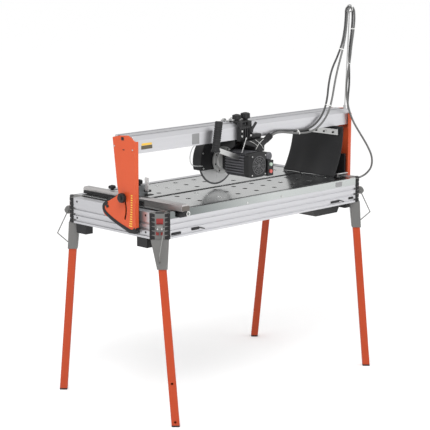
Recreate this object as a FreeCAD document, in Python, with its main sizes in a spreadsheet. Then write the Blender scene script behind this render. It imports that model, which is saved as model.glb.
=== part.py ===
# Bridge tile cutter on four plug-in legs.
#
# Frame of the model, in millimetres: +X runs along the cut towards the splash curtain, +Y towards the
# back of the table and +Z up.  The origin is on the floor, under the middle of the frame.
import FreeCAD, Part

import math
import os
import re

import Sketcher
from FreeCAD import Placement, Rotation, Vector

doc = FreeCAD.newDocument("tile_cutter")

# ---------------------------------------------------------------------------------------------
# Driving dimensions
# ---------------------------------------------------------------------------------------------
DRIVING = [
    ("frame_length", 1150, "outside of the frame along X"),
    ("frame_width", 526, "outside of the frame along Y"),
    ("frame_bottom", 684, "underside of the rails"),
    ("frame_top", 781, "top of the end and back rails"),
    ("corner_cut", 53, "length that each corner cuts off both rails"),
    ("rail_depth", 36, "rail section, across"),
    ("rail_wall", 3, "wall of the rail extrusion"),
    ("groove_depth", 5, "grooves in the outer face of a rail"),
    ("groove_width", 8, "width of a rail groove"),
    ("band_bottom", 757, "joint between the front rail and the band above it"),
    ("band_depth", 12, "steel band along the front, across"),
    ("table_top", 785, "working surface"),
    ("sheet_thick", 2.5, "table panels"),
    ("panel_left", -528, "left end of both panels"),
    ("panel_right", 505, "right end of both panels"),
    ("panel_back", 215, "back edge of the back panel"),
    ("cut_line", -17, "Y of the blade's plane and of the tilt axis"),
    ("slot_width", 8, "gap between the panels that the blade runs in"),
    ("slot_left", -372, "where the blade slot starts; left of it the panels meet"),
    ("seam_gap", 0.5, "joint between the two panels"),
    ("drain_radius", 10, "drain holes in the panels"),
    ("drain_step", 103, "drain holes, spacing along X"),
    ("drain_row", 61, "drain holes, spacing along Y"),
    ("drain_left", -396, "first drain hole"),
    ("leg_axis_x", 548.5, "leg axis, distance from the middle along X"),
    ("leg_axis_y", 236.6, "leg axis at the underside of the rails"),
    ("foot_axis_y", 317.4, "leg axis on the floor"),
    ("leg_side", 30, "square leg tube"),
    ("leg_round", 5, "corner radius of the leg tube"),
    ("leg_wall", 2, "wall of the leg tube"),
    ("leg_fit", 0.4, "gap between a leg and its socket, each side"),
    ("leg_top", 668, "height that a leg reaches in its socket"),
    ("socket_low", 577, "mouth of the leg socket"),
    ("lug_out", 23, "latch pivot, outwards from the cut corner"),
    ("lug_height", 728, "latch pivot, height"),
    ("lug_radius", 14, "latch lug"),
    ("wire_radius", 2, "spring wire of a leg latch"),
    ("pivot_z", 783, "height of the tilt axis"),
    ("pivot_radius", 6, "tilt pivot pin"),
    ("slot_radius", 100, "radius of the curved slot about the tilt axis"),
    ("lock_angle", 154.5, "direction of the lock knob from the tilt axis"),
    ("tilt_range", 45, "bevel of the bridge, in degrees"),
    ("plate_in", 575.5, "inner face of a support plate"),
    ("plate_thick", 10, "support plate"),
    ("bracket_in", 600, "inner face of a bridge bracket"),
    ("bracket_thick", 4, "bridge bracket sheet"),
    ("flange_deep", 13, "bent front flange of a bracket"),
    ("beam_front", -158, "front face of the beam"),
    ("beam_back", -50, "back face of the beam"),
    ("beam_low", 989, "underside of the beam"),
    ("beam_high", 1051, "top of the beam"),
    ("beam_wall", 4, "wall of the beam extrusion"),
    ("track_deep", 6, "depth of the two roller tracks"),
    ("track_wide", 12, "width of a roller track"),
    ("track_front", -130, "middle of the front track"),
    ("track_back", -78, "middle of the back track"),
    ("head_x", -36, "middle of the carriage, and motor axis"),
    ("axis_z", 896, "height of the motor axis"),
    ("saddle_half", 36, "half the length of the carriage"),
    ("saddle_front", -172, "front face of the carriage"),
    ("saddle_back", -44, "back face of the carriage"),
    ("saddle_top", 1070, "top of the carriage"),
    ("run_gap", 1, "gap between the carriage and the beam"),
    ("roller_radius", 9, "carriage rollers"),
    ("axle_radius", 2.5, "roller axles"),
    ("turn_gap", 0.05, "radial clearance of pins and shafts"),
    ("plunge_x", 30, "head pivot, X"),
    ("plunge_z", 962, "head pivot, Z"),
    ("plunge_radius", 5, "head pivot pin"),
    ("motor_radius", 46, "motor body without its fins"),
    ("fin_height", 5, "cooling fins"),
    ("motor_front", -195, "joint between motor body and fan cover"),
    ("motor_end", -243, "outer end of the fan cover"),
    ("motor_back", -42, "mounting face of the motor flange"),
    ("shaft_radius", 8, "motor shaft"),
    ("blade_radius", 100, "diamond blade"),
    ("blade_thick", 2.2, "diamond blade"),
    ("guard_radius", 112, "blade guard"),
    ("guard_low", 863, "lower edge of the guard"),
    ("guard_back", 2, "back face of the guard"),
    ("guard_wall", 2.5, "wall of the guard"),
    ("fence_left", -500, "left face of the fence bar"),
    ("fence_wide", 38, "fence bar, across"),
    ("fence_high", 25, "fence bar, height"),
    ("fence_near", -300, "front end of the fence bar"),
    ("fence_far", 240, "back end of the fence bar"),
    ("mast_x", 594, "hose mast"),
    ("mast_y", -138, "hose mast"),
    ("mast_top", 1478, "top of the ring on the hose mast"),
    ("mast_ring", 14, "ring that holds the cords, to the middle of its wire"),
    ("mast_radius", 2.5, "hose mast rod"),
    ("cord_radius", 4, "power cable and water hoses"),
]

sizes = doc.addObject("Spreadsheet::Sheet", "sizes")
for line, (alias, value, note) in enumerate(DRIVING, start=1):
    sizes.set("A%d" % line, str(value))
    sizes.setAlias("A%d" % line, alias)
    sizes.set("B%d" % line, note)
doc.recompute()
ALIASES = {alias for alias, value, note in DRIVING}


def number(text):
    """The value of an expression in the sheet's names."""
    return float(sizes.evalExpression(str(text)))


def bound(text):
    """The same expression, as another object of the document has to write it."""
    return re.sub(r"[a-z_]+", lambda w: "sizes." + w.group() if w.group() in ALIASES else w.group(), str(text))


def link(thing, prop, text):
    thing.setExpression(prop, bound(text))


# ---------------------------------------------------------------------------------------------
# Helpers: primitives and booleans whose sizes are bound to the sheet
# ---------------------------------------------------------------------------------------------
TURNS = {
    "Z": Rotation(),
    "Y": Rotation(Vector(1, 0, 0), -90),
    "X": Rotation(Vector(0, 1, 0), 90),
}
NODES = []


def node(thing, label):
    """Marks a finished sub-part: its Label is the name of its node and of its file."""
    thing.Label = label
    NODES.append(thing)
    return thing


def placed(thing, x, y, z, turn=None):
    thing.Placement = Placement(Vector(), turn or Rotation())
    for prop, text in zip("xyz", (x, y, z)):
        link(thing, "Placement.Base." + prop, text)
    return thing


def box(name, x, y, z):
    """A block between two corners, given as (low, high) along each axis."""
    block = doc.addObject("Part::Box", name)
    for prop, (low, high) in zip(("Length", "Width", "Height"), (x, y, z)):
        link(block, prop, "(%s) - (%s)" % (high, low))
    return placed(block, x[0], y[0], z[0])


def rod(name, radius, length, x, y, z, axis="Z"):
    """A cylinder that starts at a point and runs along +X, +Y or +Z."""
    bar = doc.addObject("Part::Cylinder", name)
    link(bar, "Radius", radius)
    link(bar, "Height", length)
    return placed(bar, x, y, z, TURNS[axis])


def fused(name, *things):
    both = doc.addObject("Part::MultiFuse", name)
    both.Shapes = list(things)
    return both


def cut(name, base, *tools):
    result = doc.addObject("Part::Cut", name)
    result.Base = base
    result.Tool = tools[0] if len(tools) == 1 else fused(name + "_tools", *tools)
    return result


def group(name, things):
    """Separate solids that share one node."""
    held = doc.addObject("Part::Compound", name)
    held.Links = list(things)
    return held


def shaped(name, shape):
    """A sub-part that no primitive fits; its shape is worked out from the sheet."""
    thing = doc.addObject("Part::Feature", name)
    thing.Shape = shape
    return thing


# ---------------------------------------------------------------------------------------------
# Helpers: bodies, sketches and pads
# ---------------------------------------------------------------------------------------------
def body(label):
    return node(doc.addObject("PartDesign::Body", label + "_body"), label)


def sketch_on(owner, role, name, offset="0"):
    """A sketch on one of the body's own origin planes, moved along the plane's normal."""
    sketch = owner.newObject("Sketcher::SketchObject", name)
    plane = next(f for f in owner.Origin.OriginFeatures if f.Role == role)
    sketch.AttachmentSupport = [(plane, "")]
    sketch.MapMode = "FlatFace"
    link(sketch, "AttachmentOffset.Base.z", offset)
    return sketch


def outline(sketch, points):
    """A closed polygon; each corner is tied to the sheet by its two coordinates."""
    corners = [Vector(number(a), number(b), 0) for a, b in points]
    first = sketch.GeometryCount
    count = len(points)
    for here in range(count):
        sketch.addGeometry(Part.LineSegment(corners[here], corners[(here + 1) % count]), False)
    for here in range(count):
        line = first + here
        sketch.addConstraint(Sketcher.Constraint("Coincident", line, 2, first + (here + 1) % count, 1))
        for kind, text, spot in zip(("DistanceX", "DistanceY"), points[here], (corners[here].x, corners[here].y)):
            index = sketch.addConstraint(Sketcher.Constraint(kind, -1, 1, line, 1, spot))
            link(sketch, "Constraints[%d]" % index, text)


def circle(sketch, x, y, radius):
    ring = sketch.addGeometry(Part.Circle(Vector(number(x), number(y), 0), Vector(0, 0, 1), number(radius)), False)
    for kind, text in (("DistanceX", x), ("DistanceY", y)):
        index = sketch.addConstraint(Sketcher.Constraint(kind, -1, 1, ring, 3, number(text)))
        link(sketch, "Constraints[%d]" % index, text)
    index = sketch.addConstraint(Sketcher.Constraint("Radius", ring, number(radius)))
    link(sketch, "Constraints[%d]" % index, radius)


def rectangle(sketch, x, y):
    """A rectangle between (low, high) along both sketch axes."""
    outline(sketch, [(x[0], y[0]), (x[1], y[0]), (x[1], y[1]), (x[0], y[1])])


def pad(owner, sketch, length, reversed_way=False):
    feature = owner.newObject("PartDesign::Pad", sketch.Name + "_pad")
    feature.Profile = sketch
    link(feature, "Length", length)
    feature.Reversed = reversed_way
    return feature


def pocket(owner, sketch, length, reversed_way=False):
    """Cuts the sketch into the body, and makes sure that it really removed something."""
    doc.recompute()
    before = owner.Shape.Volume
    feature = owner.newObject("PartDesign::Pocket", sketch.Name + "_pocket")
    feature.Profile = sketch
    link(feature, "Length", length)
    feature.Reversed = reversed_way
    doc.recompute()
    if owner.Shape.Volume > before - 1:
        raise RuntimeError(sketch.Name + " cuts nothing")
    return feature


def repeated(owner, feature, direction, span, count):
    """A linear pattern of a feature, over a whole span."""
    pattern = owner.newObject("PartDesign::LinearPattern", feature.Name + "_row")
    pattern.Originals = [feature]
    pattern.Direction = direction
    link(pattern, "Length", span)
    pattern.Occurrences = count
    owner.Tip = pattern
    return pattern


def turned(owner, feature, axis, count):
    """A polar pattern of a feature, all the way round an axis."""
    pattern = owner.newObject("PartDesign::PolarPattern", feature.Name + "_ring")
    pattern.Originals = [feature]
    pattern.Axis = axis
    pattern.Angle = 360
    pattern.Occurrences = count
    owner.Tip = pattern
    return pattern


# ---------------------------------------------------------------------------------------------
# Frame: four rails, four corner castings with leg sockets, caps and screws
# ---------------------------------------------------------------------------------------------
def rail_outline(sketch, outer, inward, low, high):
    """Rail section: three grooves in the outer face, and one closed chamber behind them."""
    def across(text):
        return "(%s) %s (%s)" % (outer, inward, text)

    edge = [(across("0"), low)]
    for lift in ("8", "30", "52"):
        bottom = "%s + %s" % (low, lift)
        top = "%s + groove_width" % bottom
        edge += [(across("0"), bottom), (across("groove_depth"), bottom)]
        edge += [(across("groove_depth"), top), (across("0"), top)]
    edge += [(across("0"), high), (across("rail_depth"), high), (across("rail_depth"), low)]
    outline(sketch, edge)
    front = across("groove_depth + rail_wall")
    back = across("rail_depth - rail_wall")
    rectangle(sketch, (front, back), ("%s + rail_wall" % low, "%s - rail_wall" % high))


def rail(label, role, outer, inward, high, length):
    owner = body(label)
    away = "-(%s) / 2" % length
    sketch = sketch_on(owner, role, label + "_section", away)
    rail_outline(sketch, outer, inward, "frame_bottom", high)
    pad(owner, sketch, length)


LONG_RUN = "frame_length - 2 * corner_cut"
CROSS_RUN = "frame_width - 2 * corner_cut"
rail("front_rail", "YZ_Plane", "-frame_width / 2", "+", "band_bottom", LONG_RUN)
rail("back_rail", "YZ_Plane", "frame_width / 2", "-", "frame_top", LONG_RUN)
rail("left_end_rail", "XZ_Plane", "-frame_length / 2", "+", "frame_top", CROSS_RUN)
rail("right_end_rail", "XZ_Plane", "frame_length / 2", "-", "frame_top", CROSS_RUN)

CORNERS = {
    "front_left": (-1, -1),
    "front_right": (1, -1),
    "back_left": (-1, 1),
    "back_right": (1, 1),
}
LEAN = number("(foot_axis_y - leg_axis_y) / frame_bottom")
CORNER_WIDTH = number("corner_cut") * math.sqrt(2)


def corner_frame(side_x, side_y):
    """Placement of a corner: local X points outwards along the diagonal, local Y along the cut."""
    middle_x = number("(frame_length - corner_cut) / 2") * side_x
    middle_y = number("(frame_width - corner_cut) / 2") * side_y
    angle = math.degrees(math.atan2(side_y, side_x))
    return Placement(Vector(middle_x, middle_y, 0), Rotation(Vector(0, 0, 1), angle))


def prism(points, low, high):
    """A straight block on a polygon of the XY plane."""
    corners = [Vector(x, y, low) for x, y in points]
    face = Part.Face(Part.makePolygon(corners + corners[:1]))
    return face.extrude(Vector(0, 0, high - low))


def square_wire(centre, deep, wide, round_by):
    """A rounded rectangle in the corner's own frame: deep along the diagonal, wide across it."""
    block = Part.makeBox(deep, wide, 1, Vector(centre.x - deep / 2, centre.y - wide / 2, centre.z))
    upright = [e for e in block.Edges if abs(e.tangentAt(0).z) > 0.5]
    block = block.makeFillet(round_by, upright)
    floor = min(block.Faces, key=lambda f: f.CenterOfMass.z)
    return floor.OuterWire


def leg_centre(side_x, side_y, height):
    """Where the leg's axis is at a height."""
    drop = number("frame_bottom") - height
    x = number("leg_axis_x") * side_x
    y = (number("leg_axis_y") + drop * LEAN) * side_y
    return Vector(x, y, height)


def square_bar(side_x, side_y, side, low, high):
    """A leaning bar of square section, cut off level at both ends, its faces on the diagonals."""
    place = corner_frame(side_x, side_y)
    ends = []
    for height in (low, high):
        centre = place.inverse().multVec(leg_centre(side_x, side_y, height))
        wire = square_wire(centre, side, side, number("leg_round"))
        wire.Placement = place.multiply(wire.Placement)
        ends.append(wire)
    return Part.makeLoft(ends, True, True)


def corner_casting(side_x, side_y):
    """The corner block, its latch lug, and the tapered socket that a leg plugs into."""
    place = corner_frame(side_x, side_y)
    low = number("frame_bottom")
    high = number("frame_top")
    half = CORNER_WIDTH / 2
    depth = number("rail_depth") / math.sqrt(2)
    nose = 15
    plan = [(0, -half), (nose, -20), (nose, 20), (0, half), (-depth, half - depth)]
    plan += [(-depth * 1.6, 0), (-depth, depth - half)]
    block = prism(plan, low, high)
    lug_at = Vector(number("lug_out"), -11, number("lug_height"))
    lug = Part.makeCylinder(number("lug_radius"), 22, lug_at, Vector(0, 1, 0))
    neck = Part.makeBox(number("lug_out"), 22, 20, Vector(0, -11, number("lug_height") - 10))
    cast = block.fuse([lug, neck])
    cast.Placement = place

    wires = []
    for height, deep, wide in ((number("socket_low"), 37, 38), (low, 40, 66)):
        centre = place.inverse().multVec(leg_centre(side_x, side_y, height))
        wire = square_wire(centre, deep, wide, 4)
        wire.Placement = place.multiply(wire.Placement)
        wires.append(wire)
    socket = Part.makeLoft(wires, True, True)
    room = number("leg_side + 2 * leg_fit")
    hollow = square_bar(side_x, side_y, room, number("socket_low") - 5, number("leg_top + leg_fit"))
    bore_at = Vector(number("lug_out"), -20, number("lug_height"))
    bore = Part.makeCylinder(number("wire_radius + turn_gap"), 40, bore_at, Vector(0, 1, 0))
    pin_way = Part.makeCylinder(number("wire_radius") + 0.7, 30, Vector(15, 0, LATCH_TIP_Z), Vector(1, 0, 0))
    for tool in (bore, pin_way):
        tool.Placement = place
    return cast.fuse(socket).removeSplitter().cut([hollow, bore, pin_way])


LATCH_TIP_Z = 603
castings = []
for corner, (side_x, side_y) in CORNERS.items():
    castings.append(shaped("casting_" + corner, corner_casting(side_x, side_y)))
node(group("corner_castings_group", castings), "corner_castings")

# Black caps that close the rails' cut ends: six rounded fingers each side of every casting.
CAP_ROWS = 6
caps = []
screws = []
for corner, (side_x, side_y) in CORNERS.items():
    place = corner_frame(side_x, side_y)
    pitch = number("(frame_top - frame_bottom)") / CAP_ROWS
    for hand in (-1, 1):
        near = 21.5 * hand
        far = (CORNER_WIDTH / 2 - 0.5) * hand
        low_y = min(near, far)
        rows = []
        for row in range(CAP_ROWS):
            base = number("frame_bottom") + row * pitch + 1
            rows.append(Part.makeBox(9, abs(far - near), pitch - 2, Vector(0.1, low_y, base)))
        back = Part.makeBox(4, abs(far - near), CAP_ROWS * pitch - 2, Vector(0.1, low_y, rows[0].BoundBox.ZMin))
        slope = prism([(15.3, 20 * hand), (0, (CORNER_WIDTH / 2 + 0.35) * hand), (0, 20 * hand)], 600, 800)
        cap = back.fuse(rows).removeSplitter().cut(slope)
        cap.Placement = place
        caps.append(shaped("cap_%s_%s" % (corner, "a" if hand < 0 else "b"), cap))
        at = Vector(15, 9 * hand, number("frame_bottom") + 26)
        head = Part.makeCylinder(3.5, 3, at, Vector(1, 0, 0))
        head.Placement = place
        screws.append(shaped("screw_%s_%s" % (corner, "a" if hand < 0 else "b"), head))
node(group("rail_end_caps_group", caps), "rail_end_caps")
for place_x in ("-119", "73"):
    screws.append(rod("rivet" + place_x.replace("-", "_"), "4", "2", place_x, "-frame_width / 2 - 2", "764", "Y"))
node(group("frame_screws_group", screws), "frame_screws")

band = body("side_band")
band_section = sketch_on(band, "YZ_Plane", "side_band_section", "-(%s) / 2" % LONG_RUN)
rectangle(band_section, ("-frame_width / 2", "-frame_width / 2 + band_depth"), ("band_bottom", "table_top"))
pad(band, band_section, LONG_RUN)

blocks = []
for corner, (side_x, side_y) in CORNERS.items():
    x = sorted((number("frame_length / 2 - 1") * side_x, number("frame_length / 2 - rail_depth") * side_x))
    y = sorted((142 * side_y, 196 * side_y))
    blocks.append(box("block_" + corner, x, y, ("frame_bottom - 36", "frame_bottom")))
node(group("frame_blocks_group", blocks), "frame_blocks")

# ---------------------------------------------------------------------------------------------
# Legs and their wire latches
# ---------------------------------------------------------------------------------------------
def leg(side_x, side_y):
    side = number("leg_side")
    tube = square_bar(side_x, side_y, side, 0, number("leg_top"))
    inner = square_bar(side_x, side_y, side - 2 * number("leg_wall"), 6, number("leg_top") + 1)
    tube = tube.cut(inner)
    if side_y < 0:
        place = corner_frame(side_x, side_y)
        for height in (18, 160):
            centre = place.inverse().multVec(leg_centre(side_x, side_y, height))
            hole = Part.makeCylinder(4.5, 30, Vector(centre.x, centre.y, height), Vector(1, 0, 0))
            hole.Placement = place
            tube = tube.cut(hole)
    return tube


def wire_shape(points, radius):
    """A bent wire: straight stretches with a ball at every bend."""
    solids = []
    for here, there in zip(points, points[1:]):
        run = there.sub(here)
        solids.append(Part.makeCylinder(radius, run.Length, here, run))
    for bend in points[1:-1]:
        solids.append(Part.makeSphere(radius, bend))
    return solids[0].fuse(solids[1:])


def latch(side_x, side_y):
    """Spring wire: an axle through the lug, an arm that bows outwards, and the locking pin."""
    place = corner_frame(side_x, side_y)
    axle = number("lug_out")
    height = number("lug_height")
    route = [(axle, -16, height), (axle, 16, height), (66, 0, 637), (27.5, 0, LATCH_TIP_Z), (23.2, 0, LATCH_TIP_Z)]
    shape = wire_shape([Vector(*p) for p in route], number("wire_radius"))
    shape.Placement = place
    return shape


for corner, (side_x, side_y) in CORNERS.items():
    node(shaped("leg_tube_" + corner, leg(side_x, side_y)), "leg_" + corner)
    node(shaped("latch_wire_" + corner, latch(side_x, side_y)), "latch_" + corner)

# ---------------------------------------------------------------------------------------------
# Table: two perforated panels on crossbars over the water tray
# ---------------------------------------------------------------------------------------------
def panel(label, outer_y, side, first_row):
    """A perforated sheet; side is +1 behind the cut and -1 in front of it."""
    owner = body(label)
    slot_edge = "cut_line + %d * slot_width / 2" % side
    seam_edge = "cut_line + %d * seam_gap / 2" % side
    sheet_sketch = sketch_on(owner, "XY_Plane", label + "_sheet", "table_top - sheet_thick")
    outline(sheet_sketch, [("panel_left", outer_y), ("panel_right", outer_y), ("panel_right", slot_edge),
                           ("slot_left", slot_edge), ("slot_left", seam_edge), ("panel_left", seam_edge)])
    pad(owner, sheet_sketch, "sheet_thick")
    hole = sketch_on(owner, "XY_Plane", label + "_holes", "table_top")
    for row in range(3):
        circle(hole, "drain_left", "%s + %d * drain_row" % (first_row, row), "drain_radius")
    first = pocket(owner, hole, "sheet_thick")
    repeated(owner, first, (hole, ["H_Axis"]), "8 * drain_step", 9)


panel("front_table_panel", "-frame_width / 2 + band_depth + 0.5", -1, "-183")
panel("back_table_panel", "panel_back", 1, "39")

bars = []
for index, middle in enumerate((-500, -180, 140, 480)):
    name = "crossbar_%d" % index
    span = ("-frame_width / 2 + band_depth", "frame_width / 2 - rail_depth")
    whole = box(name, (middle - 12, middle + 12), span, ("band_bottom", "table_top - sheet_thick"))
    notch = ("cut_line - 22", "cut_line + 22")
    way = box(name + "_notch", (middle - 13, middle + 13), notch, ("band_bottom + 8", "table_top"))
    bars.append(cut(name + "_notched", whole, way))
node(group("table_crossbars_group", bars), "table_crossbars")

tray_outer = box("tray_outer", (-516, 516), (-222, 222), ("frame_bottom + 4", "band_bottom - 2"))
tray_inner = box("tray_inner", (-512, 512), (-218, 218), ("frame_bottom + 8", "band_bottom"))
sump_outer = doc.addObject("Part::Wedge", "sump_outer")
sump_inner = doc.addObject("Part::Wedge", "sump_inner")
for wedge, shrink in ((sump_outer, 0), (sump_inner, 4)):
    wedge.Xmin, wedge.Xmax = 300 + shrink, 492 - shrink
    wedge.Zmin, wedge.Zmax = -216 + shrink, -70 - shrink
    wedge.X2min, wedge.X2max = 345 + shrink, 478 - shrink
    wedge.Z2min, wedge.Z2max = -205 + shrink, -90 - shrink
    wedge.Ymin, wedge.Ymax = 0, 52
    wedge.Placement = Placement(Vector(), Rotation(Vector(1, 0, 0), -90))
link(sump_outer, "Placement.Base.z", "frame_bottom + 8")
link(sump_inner, "Placement.Base.z", "frame_bottom + 12")
node(cut("water_tray_shell", fused("tray_body", tray_outer, sump_outer), tray_inner, sump_inner), "water_tray")

pump_body = rod("pump_body", "26", "42", "412", "-147", "frame_bottom - 40")
pump_spout = rod("pump_spout", "6", "20", "412", "-147", "frame_bottom + 2")
node(fused("pump_whole", pump_body, pump_spout), "water_pump")

# ---------------------------------------------------------------------------------------------
# Bevel supports on the frame, and the bridge that tilts on them
# ---------------------------------------------------------------------------------------------
LOCK_Y = "cut_line + slot_radius * cos(lock_angle * 1deg)"
LOCK_Z = "pivot_z + slot_radius * sin(lock_angle * 1deg)"


def flat_plate(points, low_x, thick):
    """A plate in the YZ plane, from its outline, from low_x towards +X."""
    corners = [Vector(low_x, y, z) for y, z in points]
    face = Part.Face(Part.makePolygon(corners + corners[:1]))
    return face.extrude(Vector(thick, 0, 0))


def along_x(radius, y, z, low_x, length):
    return Part.makeCylinder(radius, length, Vector(low_x, y, z), Vector(1, 0, 0))


def low_x(side, inner, thick):
    """Lower X of a plate whose inner face is at a distance from the middle, on either side."""
    return inner if side > 0 else -(inner + thick)


def support_plate(side):
    """Black plate bolted to the end rail: it carries the tilt pivot and the lock stud."""
    thick = number("plate_thick")
    at = low_x(side, number("plate_in"), thick)
    lobe = along_x(40, -18, 772, at, thick)
    plate = flat_plate([(-157, 700), (-145, 694), (-112, 693), (-18, 732), (-18, 812), (-70, 836), (-96, 866),
                        (-157, 866)], at, thick)
    whole = plate.fuse(lobe).removeSplitter()
    stud = along_x(number("wire_radius * 2 + turn_gap"), number(LOCK_Y), number(LOCK_Z), at - 1, thick + 2)
    reach = number("bracket_in + bracket_thick + 3 - plate_in")
    pin_x = low_x(side, number("plate_in"), reach)
    pin = along_x(number("pivot_radius"), number("cut_line"), number("pivot_z"), pin_x, reach)
    return whole.cut(stud).fuse(pin).removeSplitter()


BRACKET = [
    (-167, 722), (-165, 712), (-150, 708), (-112, 707), (-31, 736), (-20, 801), (-62, 824),
    (-78, 838), (-71, 867), (-48, 1041), (-86, 1050), (-130, 1054), (-167, 1034),
]


def bracket(side):
    """Painted bridge bracket: a sheet with a pivot lobe, a curved slot and a bent front flange."""
    thick = number("bracket_thick")
    at = low_x(side, number("bracket_in"), thick)
    lobe = along_x(29, -19, 772, at, thick)
    sheet = flat_plate(BRACKET, at, thick).fuse(lobe)
    flange_x = low_x(side, number("bracket_in - flange_deep"), number("flange_deep + bracket_thick"))
    deep = number("flange_deep + bracket_thick")
    flange = Part.makeBox(deep, thick, 312, Vector(flange_x, -167, 722))
    whole = sheet.fuse(flange).removeSplitter()
    pivot_hole = along_x(number("pivot_radius + turn_gap"), number("cut_line"), number("pivot_z"), at - 1, thick + 2)
    return whole.cut([pivot_hole, curved_slot(at - 1, thick + 2)])


def curved_slot(at, thick):
    """The slot that lets the bracket turn by the whole bevel past the lock stud."""
    radius = number("slot_radius")
    half = number("wire_radius * 2") + 0.6
    centre = Vector(at, number("cut_line"), number("pivot_z"))
    turn = number("lock_angle")
    sweep = number("tilt_range") + 1
    ring = Part.makeCylinder(radius + half, thick, centre, Vector(1, 0, 0))
    ring = ring.cut(Part.makeCylinder(radius - half, thick, centre, Vector(1, 0, 0)))
    rays = [Vector(0, 0, 0)]
    for angle in (turn - 1, turn + sweep / 2, turn + sweep):
        rays.append(Vector(0, 200 * math.cos(math.radians(angle)), 200 * math.sin(math.radians(angle))))
    face = Part.Face(Part.makePolygon([centre.add(r) for r in rays + rays[:1]]))
    slot = ring.common(face.extrude(Vector(thick, 0, 0)))
    for angle in (turn - 1, turn + sweep):
        y = centre.y + radius * math.cos(math.radians(angle))
        z = centre.z + radius * math.sin(math.radians(angle))
        slot = slot.fuse(along_x(half, y, z, at, thick))
    return slot


for hand, side in (("left", -1), ("right", 1)):
    node(shaped(hand + "_support", support_plate(side)), hand + "_support_plate")
    node(shaped(hand + "_sheet", bracket(side)), hand + "_bracket")
    outer = "%d * (bracket_in + bracket_thick + 0.5)" % side
    stud_in = "%d * (plate_in + 1)" % side
    if side > 0:
        grip = rod(hand + "_tilt_grip", "17", "20", outer, LOCK_Y, LOCK_Z, "X")
        stud = rod(hand + "_tilt_stud", "wire_radius * 2", "bracket_in + bracket_thick + 0.5 - plate_in - 1",
                   stud_in, LOCK_Y, LOCK_Z, "X")
    else:
        grip = rod(hand + "_tilt_grip", "17", "20", outer + " - 20", LOCK_Y, LOCK_Z, "X")
        stud = rod(hand + "_tilt_stud", "wire_radius * 2", "bracket_in + bracket_thick + 0.5 - plate_in - 1",
                   outer, LOCK_Y, LOCK_Z, "X")
    node(fused(hand + "_tilt_knob_whole", grip, stud), hand + "_tilt_knob")

# The beam: a closed extrusion with bevelled top edges and two tracks for the carriage rollers.
beam = body("bridge_beam")
beam_section = sketch_on(beam, "YZ_Plane", "bridge_beam_section", "-bracket_in")
top_edge = [("beam_front", "beam_low"), ("beam_front", "beam_high - 14"), ("beam_front + 10", "beam_high")]
for track in ("track_front", "track_back"):
    left = track + " - track_wide / 2"
    right = track + " + track_wide / 2"
    top_edge += [(left, "beam_high"), (left, "beam_high - track_deep")]
    top_edge += [(right, "beam_high - track_deep"), (right, "beam_high")]
top_edge += [("beam_back - 10", "beam_high"), ("beam_back", "beam_high - 14"), ("beam_back", "beam_low")]
outline(beam_section, top_edge)
rectangle(beam_section, ("beam_front + beam_wall", "beam_back - beam_wall"),
          ("beam_low + beam_wall", "beam_high - track_deep - 10"))
pad(beam, beam_section, "2 * bracket_in")

# Splash curtain: a rubber sheet clamped under the beam, its lower edge swept towards the blade.
CURTAIN_TOP = 988
CURTAIN_LOW = 787
CURTAIN_LINE = [(515, CURTAIN_TOP), (506, 890), (462, CURTAIN_LOW)]
CURTAIN_THICK = 3
CURTAIN_WIDE = 270


def curtain():
    """The side line of the sheet is a smooth arc through three points."""
    top, middle, low = (Vector(x, -195, z) for x, z in CURTAIN_LINE)
    thick = Vector(CURTAIN_THICK, 0, 0)
    near = Part.Arc(top, middle, low).toShape()
    far = Part.Arc(top.add(thick), middle.add(thick), low.add(thick)).toShape()
    ends = [Part.makeLine(low, low.add(thick)), Part.makeLine(top, top.add(thick))]
    face = Part.Face(Part.Wire(Part.__sortEdges__([near, far] + ends)))
    return face.extrude(Vector(0, CURTAIN_WIDE, 0))


node(shaped("splash_curtain_sheet", curtain()), "splash_curtain")
strip = box("strip_plate", (508, 510.5), (-176, -22), (952, 976))
hanger = box("strip_hanger", (518.5, 521), (-150, -60), (955, "beam_low"))
hanger_top = box("strip_hanger_top", (521, 545), (-150, -60), ("beam_low - 2.5", "beam_low"))
strip_screw = rod("strip_screw", "4", "2", "506", "-110", "964", "X")
node(group("curtain_strip_group", [fused("strip_front", strip, strip_screw),
                                   fused("strip_back", hanger, hanger_top)]), "curtain_strip")

MAST_RING_AT = Vector(601, -148.5, number("mast_top - mast_ring - mast_radius"))


def mast():
    """Thin rod on the end of the beam that leans a little outwards, with a ring for the cords on top."""
    radius = number("mast_radius")
    ring_radius = number("mast_ring")
    foot = Vector(number("mast_x"), number("mast_y"), number("beam_high"))
    run = MAST_RING_AT.sub(foot)
    reach = run.Length - ring_radius
    way = Vector(run).normalize()
    rod_shape = Part.makeCylinder(radius, reach, foot, way)
    below = Part.makeBox(40, 40, 10, foot.sub(Vector(20, 20, 10)))
    socket = Part.makeCylinder(6, 14, foot, Vector(0, 0, 1))
    ring = Part.makeTorus(ring_radius, radius, MAST_RING_AT, Vector(1, 0, 0))
    return ring.fuse([rod_shape.cut(below), socket]).removeSplitter()


node(shaped("hose_mast_whole", mast()), "hose_mast")

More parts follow.
